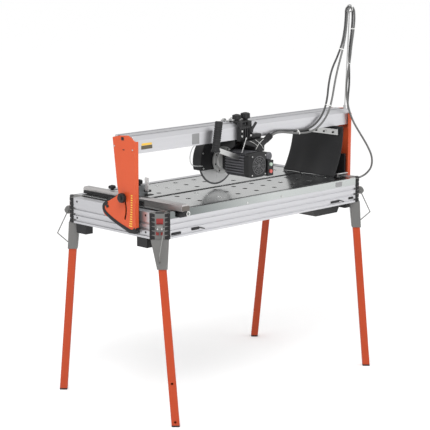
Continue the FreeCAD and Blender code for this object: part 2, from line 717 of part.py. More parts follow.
# ---------------------------------------------------------------------------------------------
# Carriage: a saddle on the beam with two roller axles, two knobs and the housing of the head pivot
# ---------------------------------------------------------------------------------------------
SADDLE_X = ("head_x - saddle_half", "head_x + saddle_half")
AXLE_Z = "beam_high - track_deep + roller_radius + 0.2"
AXLES = {"left": "head_x - 22", "right": "head_x + 22"}
saddle = box("saddle", SADDLE_X, ("saddle_front", "saddle_back"), ("beam_low - 8", "saddle_top"))
tab = box("saddle_tab", ("head_x + saddle_half - 1", "54"), ("saddle_front", "beam_front - run_gap"),
          ("beam_low - 3", "beam_low + 16"))
channel = box("saddle_channel", ("head_x - 60", "head_x + 60"), ("beam_front - run_gap", "beam_back + run_gap"),
              ("beam_low - 20", "beam_high + run_gap"))
back_clear = box("saddle_back_clear", ("head_x - 60", "head_x + 60"), ("beam_back", "saddle_back + 1"),
                 ("beam_low - 20", "beam_low + 40"))
low_back = box("saddle_low_back", ("head_x - 60", "head_x + 60"), (-118, "saddle_back + 1"), (1058, "saddle_top + 1"))
saddle_tools = [channel, back_clear, low_back]
for hand, x in AXLES.items():
    bore = rod("axle_bore_" + hand, "axle_radius + turn_gap", "84", x, "-146", AXLE_Z, "Y")
    saddle_tools.append(bore)
    for track in ("track_front", "track_back"):
        room_x = ("%s - roller_radius - 2" % x, "%s + roller_radius + 2" % x)
        room_y = ("%s - 6" % track, "%s + 6" % track)
        saddle_tools.append(box("wheel_room_%s_%s" % (hand, track), room_x, room_y, ("beam_high", "saddle_top - 5")))
for hand, x in (("left", "head_x - 24"), ("right", "head_x + 24")):
    saddle_tools.append(rod("knob_bore_" + hand, "3 + turn_gap", "12", x, "-148", "saddle_top - 10"))
node(cut("carriage_saddle", fused("saddle_raw", saddle, tab), *saddle_tools), "carriage_frame")

for hand, x in AXLES.items():
    axle = rod("axle_" + hand, "axle_radius", "83", x, "-145.5", AXLE_Z, "Y")
    wheels = []
    for track in ("track_front", "track_back"):
        wheels.append(rod("wheel_%s_%s" % (hand, track), "roller_radius", "8", x, track + " - 4", AXLE_Z, "Y"))
    node(fused("roller_axle_whole_" + hand, axle, *wheels), "roller_axle_" + hand)

for hand, x in (("left", "head_x - 24"), ("right", "head_x + 24")):
    stem = rod("knob_stem_" + hand, "3", "13", x, "-148", "saddle_top - 9")
    hub = rod("knob_hub_" + hand, "6", "4", x, "-148", "saddle_top + 0.3")
    head = rod("knob_head_" + hand, "12", "12", x, "-148", "saddle_top + 4")
    node(fused("carriage_knob_whole_" + hand, stem, hub, head), "carriage_knob_" + hand)

# Housing under the beam: terminal box in front, head pivot behind it.
terminal = box("terminal_box", (4, 58), ("saddle_front - 12", "-112"), ("plunge_z - 26", "beam_low - 3"))
web_edge = [(4, 984), (-58, 984), (-52, 972), (4, 956)]
web_face = Part.Face(Part.makePolygon([Vector(x, -184, z) for x, z in web_edge + web_edge[:1]]))
web = shaped("terminal_web", web_face.extrude(Vector(0, 6, 0)))
rear_ear = box("rear_ear", ("plunge_x - 13", "plunge_x + 13"), (-80, -66), ("plunge_z - 13", "beam_low - 3"))
roof = box("ear_roof", ("plunge_x - 13", "plunge_x + 13"), (-113, -66), ("beam_low - 9", "beam_low - 3"))
plunge_pin = rod("plunge_pin", "plunge_radius", "54", "plunge_x", "-120", "plunge_z", "Y")
node(fused("pivot_housing_whole", terminal, web, rear_ear, roof, plunge_pin), "pivot_housing")

GLAND_FROM = Vector(50, -172, 958)
GLAND_TO = Vector(106, -172, 990)
GLAND_RADIUS = 11
GLAND_RIBS = 5


def gland():
    """Strain relief of the cable and hose: a ribbed sleeve that slants up out of the terminal box."""
    run = GLAND_TO.sub(GLAND_FROM)
    way = Vector(run).normalize()
    sleeve = Part.makeCylinder(GLAND_RADIUS, run.Length, GLAND_FROM, run)
    for step in range(GLAND_RIBS):
        at = GLAND_FROM.add(Vector(way).multiply(34 + 6 * step))
        sleeve = sleeve.fuse(Part.makeCylinder(GLAND_RADIUS + 1.5, 3.5, at, run))
    mouth = Part.makeCylinder(GLAND_RADIUS - 1.8, 12, GLAND_TO.sub(Vector(way).multiply(12)), way)
    terminal_side = Part.makeBox(120, 100, 80, Vector(58 - 120, -184, 930))
    return sleeve.cut([mouth, terminal_side])


node(shaped("gland_sleeve", gland()), "cable_gland")

# ---------------------------------------------------------------------------------------------
# Cutting head: arm, motor, guard, blade, handle and switches
# ---------------------------------------------------------------------------------------------
def head_arm():
    """Clamp ring round the motor with an arm up to the pivot pin."""
    axis = Vector(number("head_x"), -107, number("axis_z"))
    pivot = Vector(number("plunge_x"), -107, number("plunge_z"))
    y_way = Vector(0, 1, 0)
    ring = Part.makeCylinder(number("motor_radius + fin_height") + 6, 22, axis, y_way)
    boss = Part.makeCylinder(13, 22, pivot, y_way)
    run = pivot.sub(axis)
    across = Vector(-run.z, 0, run.x).normalize().multiply(11)
    corners = [axis.add(across), pivot.add(across), pivot.sub(across), axis.sub(across)]
    web = Part.Face(Part.makePolygon(corners + corners[:1])).extrude(Vector(0, 22, 0))
    bore = Part.makeCylinder(number("motor_radius + fin_height") + 0.05, 30, Vector(axis.x, -110, axis.z), y_way)
    pin = Part.makeCylinder(number("plunge_radius + turn_gap"), 30, Vector(pivot.x, -110, pivot.z), y_way)
    return ring.fuse([boss, web]).removeSplitter().cut([bore, pin])


node(shaped("head_arm_whole", head_arm()), "head_arm")

# The motor's sketches are centred on its shaft, so its body carries the shaft's place.
def shaft_body(label):
    owner = body(label)
    link(owner, "Placement.Base.x", "head_x")
    link(owner, "Placement.Base.z", "axis_z")
    return owner


def axis_of(owner, role):
    return next(f for f in owner.Origin.OriginFeatures if f.Role == role)


def ring_on_shaft(owner, name, radius, start, length, bore=None):
    """A disc or a ring about the shaft, from Y = start towards -Y."""
    section = sketch_on(owner, "XZ_Plane", name, "-(%s)" % start)
    centred_circle(section, radius)
    if bore:
        centred_circle(section, bore)
    return pad(owner, section, length)


def centred_circle(sketch, radius):
    ring = sketch.addGeometry(Part.Circle(Vector(), Vector(0, 0, 1), number(radius)), False)
    sketch.addConstraint(Sketcher.Constraint("Coincident", ring, 3, -1, 1))
    index = sketch.addConstraint(Sketcher.Constraint("Radius", ring, number(radius)))
    link(sketch, "Constraints[%d]" % index, radius)


FIN_COUNT = 30
VENT_COUNT = 12
housing = shaft_body("motor_housing")
ring_on_shaft(housing, "motor_flange", "motor_radius + fin_height + 3", "motor_back", "14", "shaft_radius + 1")
ring_on_shaft(housing, "motor_barrel", "motor_radius", "motor_back - 14", "motor_back - 14 - motor_front",
              "motor_radius - 4")
fin_line = sketch_on(housing, "XZ_Plane", "motor_fin", "-(motor_back - 14)")
rectangle(fin_line, ("-1.2", "1.2"), ("motor_radius - 1", "motor_radius + fin_height"))
fin = pad(housing, fin_line, "motor_back - 14 - motor_front")
doc.recompute()
turned(housing, fin, (axis_of(housing, "Y_Axis"), [""]), FIN_COUNT)
handle_lug = sketch_on(housing, "XZ_Plane", "handle_lug", "170")
rectangle(handle_lug, ("-60", "-41"), ("16", "36"))
pad(housing, handle_lug, "8")

cover = shaft_body("fan_cover")
ring_on_shaft(cover, "fan_shell", "motor_radius + 2", "motor_front", "motor_front - motor_end", "motor_radius - 1.5")
ring_on_shaft(cover, "fan_grille", "motor_radius + 2", "motor_end + 4", "4")
vent = sketch_on(cover, "XZ_Plane", "fan_vent", "-(motor_end)")
rectangle(vent, ("-3", "3"), ("12", "31"))
vent_cut = pocket(cover, vent, "4.5")
turned(cover, vent_cut, (axis_of(cover, "Y_Axis"), [""]), VENT_COUNT)

rotor = shaft_body("motor_rotor")
ring_on_shaft(rotor, "motor_shaft", "shaft_radius", "guard_back - 12", "guard_back - 12 - motor_end - 14")
ring_on_shaft(rotor, "rotor_core", "28", "-80", "90")
ring_on_shaft(rotor, "cooling_fan", "38", "motor_front - 14", "12")

# Blade between two flanges on the shaft; its bore fits the shaft.
disc = shaft_body("blade")
ring_on_shaft(disc, "blade_disc", "blade_radius", "cut_line + blade_thick / 2", "blade_thick",
              "shaft_radius + turn_gap")
relief = sketch_on(disc, "XZ_Plane", "blade_relief", "-(cut_line + blade_thick / 2)")
rectangle(relief, ("-1", "1"), ("52", "74"))
relief_cut = pocket(disc, relief, "blade_thick", True)
turned(disc, relief_cut, (axis_of(disc, "Y_Axis"), [""]), 6)

inner_flange = rod("inner_flange", "27", "5", "head_x", "cut_line - blade_thick / 2 - 5", "axis_z", "Y")
outer_flange = rod("outer_flange", "27", "4", "head_x", "cut_line + blade_thick / 2", "axis_z", "Y")
flange_way = rod("flange_way", "shaft_radius + turn_gap", "40", "head_x", "cut_line - 20", "axis_z", "Y")
flange_pair = fused("flange_pair", inner_flange, outer_flange)
node(cut("blade_flanges_bored", flange_pair, flange_way), "blade_flanges")

guard_outer = rod("guard_outer", "guard_radius", "guard_back + 42", "head_x", "-42", "axis_z", "Y")
guard_inner = rod("guard_inner", "guard_radius - guard_wall", "guard_back + 42 - 2 * guard_wall", "head_x",
                  "-42 + guard_wall", "axis_z", "Y")
guard_floor = box("guard_floor", ("head_x - 150", "head_x + 150"), (-60, 20), ("guard_low - 150", "guard_low"))
guard_hole = rod("guard_hole", "shaft_radius + 3", "10", "head_x", "-45", "axis_z", "Y")
node(cut("blade_guard_shell", guard_outer, guard_inner, guard_floor, guard_hole), "blade_guard")

BAR_LINE = [(-75.5, 931), (-85, 914), (-206, 958), (-206, 990), (-186, 1060), (-176, 1060), (-190, 985), (-190, 972)]


def handle_bar():
    """Flat steel bar: bolted to the motor's lug, cranked up into the grip."""
    corners = [Vector(x, -184, z) for x, z in BAR_LINE]
    return Part.Face(Part.makePolygon(corners + corners[:1])).extrude(Vector(0, 6, 0))


def handle_grip(bar):
    """Round grip that leans towards the motor, moulded over the upper end of the bar."""
    foot = Vector(-207, -181, 968)
    grip = Part.makeCylinder(15, 116, foot, Vector(0.16, 0, 1))
    collar = Part.makeCylinder(17, 8, foot, Vector(0.16, 0, 1))
    return grip.fuse(collar).removeSplitter().cut(bar)


bar_shape = handle_bar()
node(shaped("handle_bar_flat", bar_shape), "handle_bar")
node(shaped("handle_grip_whole", handle_grip(bar_shape)), "handle_grip")

node(rod("capacitor_can", "15", "44", "33", "-232", "axis_z + 27", "Y"), "capacitor")
BUTTONS = {"start_button": 893, "stop_button": 866}
case = box("switch_case", (17, 48), (-241, -172), ("axis_z - 48", "axis_z + 11.9"))
wells = []
for name, height in BUTTONS.items():
    wells.append(rod(name + "_well", "7.3", "14", "32", "-242", height, "Y"))
node(cut("switch_box_whole", case, *wells), "switch_box")
for name, height in BUTTONS.items():
    node(rod(name + "_cap", "7", "11", "32", "-246", height, "Y"), name)

# ---------------------------------------------------------------------------------------------
# Side fence across the left end of the table
# ---------------------------------------------------------------------------------------------
fence = body("fence_bar")
fence_section = sketch_on(fence, "XZ_Plane", "fence_section", "-(fence_far)")
low, high = "table_top + 0.5", "table_top + 0.5 + fence_high"
left, right = "fence_left", "fence_left + fence_wide"
outline(fence_section, [(left, low), (left, high + " - 6"), (left + " + 6", high), (right + " - 9", high),
                        (right, high + " - 9"), (right, low), (right + " - 12", low), (right + " - 12", low + " + 5"),
                        (left + " + 12", low + " + 5"), (left + " + 12", low)])
pad(fence, fence_section, "fence_far - fence_near")

block_raw = box("stop_block", ("fence_left + 1", "fence_left + 49"), (-69, -36),
                ("table_top + fence_high + 1", "table_top + 64"))
block_hook = box("stop_hook", ("fence_left + fence_wide + 1", "fence_left + 49"), (-69, -36),
                 ("table_top + 6", "table_top + fence_high + 2"))
block_bore = rod("stop_bore", "3 + turn_gap", "30", "fence_left + 19", "-52", "table_top + 40")
node(cut("fence_stop_whole", fused("stop_raw", block_raw, block_hook), block_bore), "fence_stop")
stop_stem = rod("stop_stem", "3", "24", "fence_left + 19", "-52", "table_top + 42")
stop_head = rod("stop_head", "12", "13", "fence_left + 19", "-52", "table_top + 66")
node(fused("stop_knob_whole", stop_stem, stop_head), "stop_knob")
clamp_stem = rod("clamp_stem", "4", "10", "fence_left + 19", "95", high)
clamp_head = rod("clamp_head", "13", "14", "fence_left + 19", "95", high + " + 8")
node(fused("fence_knob_whole", clamp_stem, clamp_head), "fence_knob")

barb = rod("barb_tube", "cord_radius + 1", "20.5", "frame_length / 2", "-196", "765", "X")
barb_nut = rod("barb_nut", "9", "8", "frame_length / 2", "-196", "765", "X")
node(fused("hose_fitting_whole", barb, barb_nut), "hose_fitting")

# ---------------------------------------------------------------------------------------------
# Power cable and water hoses: straight runs joined by tangent arcs
# ---------------------------------------------------------------------------------------------
CABLE_ROUTE = [
    (102.5, -167.7, 988), (136, -167, 1004), (186, -168, 1002), (262, -169, 993), (338, -169, 993),
    (392, -169, 1018), (430, -168, 1058), (450, -166, 1108), (460, -163, 1166), (482, -159, 1222),
    (520, -155, 1268), (553, -151, 1318), (573, -147, 1374), (581, -145, 1430), (582, -144, 1467),
    (621, -144, 1467), (626, -144, 1428), (622, -144, 1372), (611, -145, 1318), (607, -145, 1262),
    (612, -144, 1208), (618, -141, 1152), (612, -140, 1100), (611, -140, 1058), (626, -141, 1022), (609, -139, 990),
]
HOSE_UPPER_ROUTE = [
    (102.5, -176.3, 988), (136, -178, 1003), (186, -178, 995), (262, -179, 983), (340, -180, 982),
    (398, -180, 1006), (444, -179, 1050), (468, -177, 1108), (484, -174, 1164), (504, -170, 1216),
    (530, -165, 1266), (553, -161, 1316), (571, -157, 1372), (577, -155, 1419.5),
]
HOSE_LOWER_ROUTE = [
    (577, -155, 1419.5), (583, -153, 1467), (622, -153, 1467), (628, -154, 1424), (620, -156, 1368),
    (606, -158, 1314), (597, -160, 1258), (584, -160, 1202), (575, -160, 1146), (577, -163, 1092),
    (583, -172, 1044), (601, -180, 998), (626, -195, 952), (646, -216, 906), (657, -238, 858), (651, -243, 814),
    (634, -228, 784), (616, -207, 768), (598, -196, 765),
]


def cord_path(route):
    """Runs and arcs of a cord; every arc's radius is 0.45 of its shorter run over tan(half the turn)."""
    points = [Vector(*p) for p in route]
    edges = []
    radii = []
    start = points[0]
    for before, corner, after in zip(points, points[1:], points[2:]):
        run_in = corner.sub(before)
        run_out = after.sub(corner)
        turn = run_in.getAngle(run_out)
        setback = 0.45 * min(run_in.Length, run_out.Length)
        radius = setback / math.tan(turn / 2)
        enter = corner.sub(Vector(run_in).normalize().multiply(setback))
        leave = corner.add(Vector(run_out).normalize().multiply(setback))
        inward = enter.add(leave).multiply(0.5).sub(corner).normalize()
        middle = corner.add(inward.multiply(radius / math.cos(turn / 2) - radius))
        edges.append(Part.LineSegment(start, enter).toShape())
        edges.append(Part.Arc(enter, middle, leave).toShape())
        radii.append(radius)
        start = leave
    edges.append(Part.LineSegment(start, points[-1]).toShape())
    return Part.Wire(edges), radii


def cord(label, route):
    wire, radii = cord_path(route)
    radius = number("cord_radius")
    first = wire.Edges[0]
    along = first.tangentAt(first.FirstParameter)
    ring = Part.Wire(Part.makeCircle(radius, Vector(*route[0]), along))
    tube = wire.makePipeShell([ring], True, False)
    length = wire.Length
    ideal = math.pi * radius ** 2 * length
    print("%s: length %.0f mm, volume ratio %.4f, radii %s" % (
        label, length, tube.Volume / ideal, " ".join("%.0f" % r for r in radii)))
    node(shaped(label + "_tube", tube), label)


cord("power_cable", CABLE_ROUTE)
cord("water_hose_upper", HOSE_UPPER_ROUTE)
cord("water_hose_lower", HOSE_LOWER_ROUTE)

# ---------------------------------------------------------------------------------------------
# Checks and export
# ---------------------------------------------------------------------------------------------
doc.recompute()
faults = [thing.Name for thing in doc.Objects if {"Invalid", "Error"} & set(thing.State)]
for thing in NODES:
    if thing.Shape.isNull() or not thing.Shape.isValid() or not thing.Shape.Solids:
        faults.append(thing.Label)
if faults:
    raise RuntimeError("these did not come out whole: " + ", ".join(faults))

os.makedirs("parts", exist_ok=True)
for thing in NODES:
    thing.Shape.exportStep("parts/%s.step" % thing.Label)
whole = Part.makeCompound([thing.Shape for thing in NODES]).BoundBox
print("%d nodes, %.0f x %.0f x %.0f mm" % (len(NODES), whole.XLength, whole.YLength, whole.ZLength))
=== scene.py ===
# %% [markdown]
# # A bridge tile saw on its plug-in legs
#
# The machine is built twice.  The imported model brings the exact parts, each on its own body, so that
# everything already turns and slides where it should.  This notebook adds the looks: finishes that wear
# the way paint, drawn aluminium and rubber do, and the soft or fiddly pieces that a plain solid can't
# show, such as the cords, the splash curtain, the star knobs and the grip.

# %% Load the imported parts
import math
import bpy
import numpy as np
from mathutils import Matrix, Vector


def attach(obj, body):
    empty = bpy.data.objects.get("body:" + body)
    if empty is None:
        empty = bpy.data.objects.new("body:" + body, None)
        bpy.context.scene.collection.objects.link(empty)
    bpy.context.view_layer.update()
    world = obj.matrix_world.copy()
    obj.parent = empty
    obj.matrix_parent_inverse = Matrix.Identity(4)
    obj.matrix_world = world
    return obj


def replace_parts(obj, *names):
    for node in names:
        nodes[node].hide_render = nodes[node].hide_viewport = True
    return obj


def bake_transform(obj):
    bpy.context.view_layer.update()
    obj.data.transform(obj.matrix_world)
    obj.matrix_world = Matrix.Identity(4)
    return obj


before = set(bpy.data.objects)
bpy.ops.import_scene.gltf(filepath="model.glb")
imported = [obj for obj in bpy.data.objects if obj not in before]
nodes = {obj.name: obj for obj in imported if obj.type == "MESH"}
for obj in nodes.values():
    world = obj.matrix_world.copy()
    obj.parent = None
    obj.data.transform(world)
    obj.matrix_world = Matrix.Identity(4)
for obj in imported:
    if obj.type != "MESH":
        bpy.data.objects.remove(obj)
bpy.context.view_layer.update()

# %% [markdown]
# ## Camera
#
# A long lens far away keeps upright legs upright and shows the table almost as a drawing would.  The
# camera's turn is made from its three directions, because a matrix of right, up and back is exactly what
# a camera object stores.

# %% Camera
YAW, PITCH, ROLL = 0.7936, 0.19186, 0.00351
EYE = Vector((-4.18784, -4.09408, 1.80249))
forward = Vector((math.sin(YAW) * math.cos(PITCH), math.cos(YAW) * math.cos(PITCH), -math.sin(PITCH)))
level = Vector((math.cos(YAW), -math.sin(YAW), 0))
upward = level.cross(forward)
right = math.cos(ROLL) * level + math.sin(ROLL) * upward
upward = math.cos(ROLL) * upward - math.sin(ROLL) * level
LENS_MM, SENSOR_MM, FARTHEST = 126.07, 36, 60
lens = bpy.data.cameras.new("studio_lens")
lens.lens = LENS_MM
lens.sensor_width = SENSOR_MM
lens.clip_end = FARTHEST
camera = bpy.data.objects.new("studio_camera", lens)
bpy.context.scene.collection.objects.link(camera)
turn = Matrix((right, upward, -forward)).transposed().to_4x4()
camera.matrix_world = Matrix.Translation(EYE) @ turn
bpy.context.scene.camera = camera
print("camera", round((EYE - Vector((0, 0, 0.8))).length, 2), "m from the table")

# %% [markdown]
# ## Studio
#
# Bright metal shows nothing but its surroundings, so the room matters more than the lamps.  A pale sky
# that is brightest overhead and greyer towards the horizon gives tops and sides of the aluminium different
# tones, one large soft lamp from the upper left makes the legs and the table throw a faint shadow, and a dim
# one from the right keeps the black motor readable.

# %% Sky
HORIZON_LIGHT, ZENITH_LIGHT, SEEN_LIGHT = 0.42, 1.0, 1.0
bpy.context.scene.view_settings.view_transform = "Standard"
sky = bpy.data.worlds.new("pale_sky")
sky.use_nodes = True
sky_nodes = sky.node_tree.nodes
direction = sky_nodes.new("ShaderNodeTexCoord")
heights = sky_nodes.new("ShaderNodeSeparateXYZ")
brightness = sky_nodes.new("ShaderNodeMapRange")
SKY_RAMP = {"From Min": -0.05, "From Max": 0.75, "To Min": HORIZON_LIGHT, "To Max": ZENITH_LIGHT}
for label, value in SKY_RAMP.items():
    brightness.inputs[label].default_value = value
ray = sky_nodes.new("ShaderNodeLightPath")
seen = sky_nodes.new("ShaderNodeMix")
seen.inputs[3].default_value = SEEN_LIGHT
sky.node_tree.links.new(direction.outputs["Generated"], heights.inputs[0])
sky.node_tree.links.new(heights.outputs["Z"], brightness.inputs["Value"])
sky.node_tree.links.new(ray.outputs["Is Camera Ray"], seen.inputs[0])
sky.node_tree.links.new(brightness.outputs[0], seen.inputs[2])
sky.node_tree.links.new(seen.outputs[0], sky_nodes["Background"].inputs["Strength"])
sky_nodes["Background"].inputs["Color"].default_value = (1, 1, 1, 1)
bpy.context.scene.world = sky
print("sky from", HORIZON_LIGHT, "to", ZENITH_LIGHT)


# %% Lamps
def soft_lamp(name, place, target, size, watts):
    """A square area lamp at a place, aimed at a target."""
    light = bpy.data.lights.new(name, "AREA")
    light.size = size
    light.energy = watts
    lamp = bpy.data.objects.new(name, light)
    lamp.location = place
    lamp.rotation_euler = (Vector(target) - Vector(place)).to_track_quat("-Z", "Y").to_euler()
    bpy.context.scene.collection.objects.link(lamp)
    return lamp


soft_lamp("key_lamp", (-2.4, -2.0, 3.8), (0, 0, 0.6), 1.8, 95)
soft_lamp("side_lamp", (3.0, -2.8, 1.8), (0, 0, 0.8), 1.6, 16)
print("lamps:", [light.name for light in bpy.data.lights])

# %% Floor
# The floor reaches so far that its far edge melts into the sky.
FLOOR_HALF = 60
floor_corners = [(-FLOOR_HALF, -FLOOR_HALF, 0), (FLOOR_HALF, -FLOOR_HALF, 0),
                 (FLOOR_HALF, FLOOR_HALF, 0), (-FLOOR_HALF, FLOOR_HALF, 0)]
floor_mesh = bpy.data.meshes.new("studio_floor")
floor_mesh.from_pydata(floor_corners, [], [(0, 1, 2, 3)])
floor = bpy.data.objects.new("studio_floor", floor_mesh)
bpy.context.scene.collection.objects.link(floor)
print("floor", 2 * FLOOR_HALF, "m wide")

# %% [markdown]
# ## Shared shader groups
#
# Four effects come back in almost every finish, so each one is a node group that is built once: worn
# edges, fine grain, drawn lines and settled dust.  A group only works out masks, heights and normals.
# The colour and the shine stay in each material, next to its own shader.

# %% A helper that starts a shader group
def start_group(name, inputs, outputs):
    """An empty group with named sockets: inputs are (label, kind, value), outputs are (label, kind)."""
    tree = bpy.data.node_groups.new(name, "ShaderNodeTree")
    for label, kind, value in inputs:
        tree.interface.new_socket(name=label, in_out="INPUT", socket_type=kind).default_value = value
    for label, kind in outputs:
        tree.interface.new_socket(name=label, in_out="OUTPUT", socket_type=kind)
    return tree, tree.nodes.new("NodeGroupInput"), tree.nodes.new("NodeGroupOutput")


def add(tree, kind, values=None, **settings):
    """A new node with its settings, and with plain values on the inputs that are named or numbered."""
    made = tree.nodes.new(kind)
    for key, value in settings.items():
        setattr(made, key, value)
    for key, value in (values or {}).items():
        made.inputs[key].default_value = value
    return made


def wire(tree, *pairs):
    """Links each pair of an output and an input."""
    for output, socket in pairs:
        tree.links.new(output, socket)


FLOAT, VECTOR = "NodeSocketFloat", "NodeSocketVector"
print("sockets:", FLOAT, VECTOR)

# %% Worn edges
# The Bevel node answers with the normal of a rounded edge.  Where that differs from the flat normal the
# point is close to an edge: one minus their dot product is the wear, broken up by a soft noise.
edges, given, result = start_group(
    "worn_edges", [("Width", FLOAT, 0.001), ("Patches", FLOAT, 60.0)], [("Mask", FLOAT), ("Normal", VECTOR)])
rounded = add(edges, "ShaderNodeBevel", samples=4)
flat = add(edges, "ShaderNodeNewGeometry")
agree = add(edges, "ShaderNodeVectorMath", operation="DOT_PRODUCT")
near_edge = add(edges, "ShaderNodeMapRange", {"From Min": 0.99, "From Max": 0.8})
where = add(edges, "ShaderNodeTexCoord")
patches = add(edges, "ShaderNodeTexNoise", {"Detail": 3.0})
broken = add(edges, "ShaderNodeMapRange", {"From Min": 0.42, "From Max": 0.62})
both = add(edges, "ShaderNodeMath", operation="MULTIPLY")
wire(edges, (given.outputs["Width"], rounded.inputs["Radius"]), (rounded.outputs[0], agree.inputs[0]),
     (flat.outputs["Normal"], agree.inputs[1]), (agree.outputs["Value"], near_edge.inputs["Value"]),
     (where.outputs["Object"], patches.inputs["Vector"]), (given.outputs["Patches"], patches.inputs["Scale"]),
     (patches.outputs["Fac"], broken.inputs["Value"]), (near_edge.outputs[0], both.inputs[0]),
     (broken.outputs[0], both.inputs[1]), (both.outputs[0], result.inputs["Mask"]),
     (rounded.outputs[0], result.inputs["Normal"]))
print("worn_edges has", len(edges.nodes), "nodes")

# %% Fine grain
# Two noises on Object coordinates: a fine one for the height of the skin, a wide one for its tone.
grain, given, result = start_group(
    "fine_grain", [("Fineness", FLOAT, 900.0), ("Mottle", FLOAT, 9.0)], [("Height", FLOAT), ("Tone", FLOAT)])
where = add(grain, "ShaderNodeTexCoord")
skin = add(grain, "ShaderNodeTexNoise", {"Detail": 2.0})
clouds = add(grain, "ShaderNodeTexNoise", {"Detail": 4.0})
wire(grain, (where.outputs["Object"], skin.inputs["Vector"]), (given.outputs["Fineness"], skin.inputs["Scale"]),
     (where.outputs["Object"], clouds.inputs["Vector"]), (given.outputs["Mottle"], clouds.inputs["Scale"]),
     (skin.outputs["Fac"], result.inputs["Height"]), (clouds.outputs["Fac"], result.inputs["Tone"]))
print("fine_grain has", len(grain.nodes), "nodes")

# %% Drawn lines
# Noise squeezed hard across one direction turns into long lines along the other, as a die or a roller
# leaves them.  Stretch holds how many lines there are for each metre of X, Y and Z.
drawn, given, result = start_group(
    "drawn_lines", [("Stretch", VECTOR, (3.0, 300.0, 300.0))], [("Height", FLOAT), ("Tone", FLOAT)])
where = add(drawn, "ShaderNodeTexCoord")
squeezed = add(drawn, "ShaderNodeVectorMath", operation="MULTIPLY")
lines = add(drawn, "ShaderNodeTexNoise", {"Scale": 1.0, "Detail": 3.0})
wide = add(drawn, "ShaderNodeTexNoise", {"Scale": 0.16, "Detail": 2.0})
wire(drawn, (where.outputs["Object"], squeezed.inputs[0]), (given.outputs["Stretch"], squeezed.inputs[1]),
     (squeezed.outputs[0], lines.inputs["Vector"]), (squeezed.outputs[0], wide.inputs["Vector"]),
     (lines.outputs["Fac"], result.inputs["Height"]), (wide.outputs["Fac"], result.inputs["Tone"]))
print("drawn_lines has", len(drawn.nodes), "nodes")

# %% Settled dust
# Slurry and tile dust settle on what faces up: the normal's height, ramped from 0.35 to 1, times a noise.
dust, given, result = start_group("settled_dust", [("Amount", FLOAT, 0.3)], [("Mask", FLOAT)])
flat = add(dust, "ShaderNodeNewGeometry")
parts_of = add(dust, "ShaderNodeSeparateXYZ")
facing_up = add(dust, "ShaderNodeMapRange", {"From Min": 0.35, "From Max": 1.0})
where = add(dust, "ShaderNodeTexCoord")
spread = add(dust, "ShaderNodeTexNoise", {"Scale": 22.0, "Detail": 5.0})
thick = add(dust, "ShaderNodeMapRange", {"From Min": 0.35, "From Max": 0.75})
layer = add(dust, "ShaderNodeMath", operation="MULTIPLY")
amount = add(dust, "ShaderNodeMath", operation="MULTIPLY")
wire(dust, (flat.outputs["Normal"], parts_of.inputs[0]), (parts_of.outputs["Z"], facing_up.inputs["Value"]),
     (where.outputs["Object"], spread.inputs["Vector"]), (spread.outputs["Fac"], thick.inputs["Value"]),
     (facing_up.outputs[0], layer.inputs[0]), (thick.outputs[0], layer.inputs[1]),
     (layer.outputs[0], amount.inputs[0]), (given.outputs["Amount"], amount.inputs[1]),
     (amount.outputs[0], result.inputs["Mask"]))
print("settled_dust has", len(dust.nodes), "nodes")

# %% [markdown]
# ## Finishes
#
# Every finish on the machine is the same recipe with other values: a base colour with a slow change of
# tone, worn edges that show another colour, some dust, and a fine height for the skin.  One function
# builds the recipe, so a finish reads as one short line.

# %% The recipe of a finish
DUST_COLOUR = (0.55, 0.53, 0.50, 1)


def placed_group(tree, group, **values):
    """A shader group placed in a material, with its own values."""
    made = tree.nodes.new("ShaderNodeGroup")
    made.node_tree = group
    for label, value in values.items():
        made.inputs[label].default_value = value
    return made


def mixed(tree, factor, low, high):
    """A colour mix: each side is either an output socket or a plain colour."""
    mix = add(tree, "ShaderNodeMix", data_type="RGBA")
    for socket, side in ((mix.inputs[6], low), (mix.inputs[7], high)):
        if isinstance(side, bpy.types.NodeSocket):
            tree.links.new(side, socket)
        else:
            socket.default_value = (*side[:3], 1)
    tree.links.new(factor, mix.inputs[0])
    return mix.outputs[2]


def finish(name, colour, second, rough, metal=0.0, skin=0.0003, fineness=900.0, stretch=None,
           worn=None, edge=0.0009, dusty=0.0, coat=0.0, shine=0.06, gloss=0.5):
    """A finish: colour drifts towards second, rough drifts by shine, and edges wear to worn."""
    made = bpy.data.materials.new(name)
    made.use_nodes = True
    tree = made.node_tree
    shader = tree.nodes["Principled BSDF"]
    shader.inputs["Metallic"].default_value = metal
    shader.inputs["Coat Weight"].default_value = coat
    shader.inputs["Specular IOR Level"].default_value = gloss
    if stretch:
        surface = placed_group(tree, drawn, Stretch=stretch)
    else:
        surface = placed_group(tree, grain, Fineness=fineness)
    base = mixed(tree, surface.outputs["Tone"], colour, second)
    wear = placed_group(tree, edges, Width=edge)
    if worn:
        base = mixed(tree, wear.outputs["Mask"], base, worn)
    if dusty:
        settled = placed_group(tree, dust, Amount=dusty)
        base = mixed(tree, settled.outputs["Mask"], base, DUST_COLOUR)
    sheen = add(tree, "ShaderNodeMapRange", {"To Min": rough - shine, "To Max": rough + shine})
    bump = add(tree, "ShaderNodeBump", {"Strength": 0.35, "Distance": skin})
    wire(tree, (base, shader.inputs["Base Color"]), (surface.outputs["Tone"], sheen.inputs["Value"]),
         (sheen.outputs[0], shader.inputs["Roughness"]), (surface.outputs["Height"], bump.inputs["Height"]),
         (wear.outputs["Normal"], bump.inputs["Normal"]), (bump.outputs[0], shader.inputs["Normal"]))
    return made


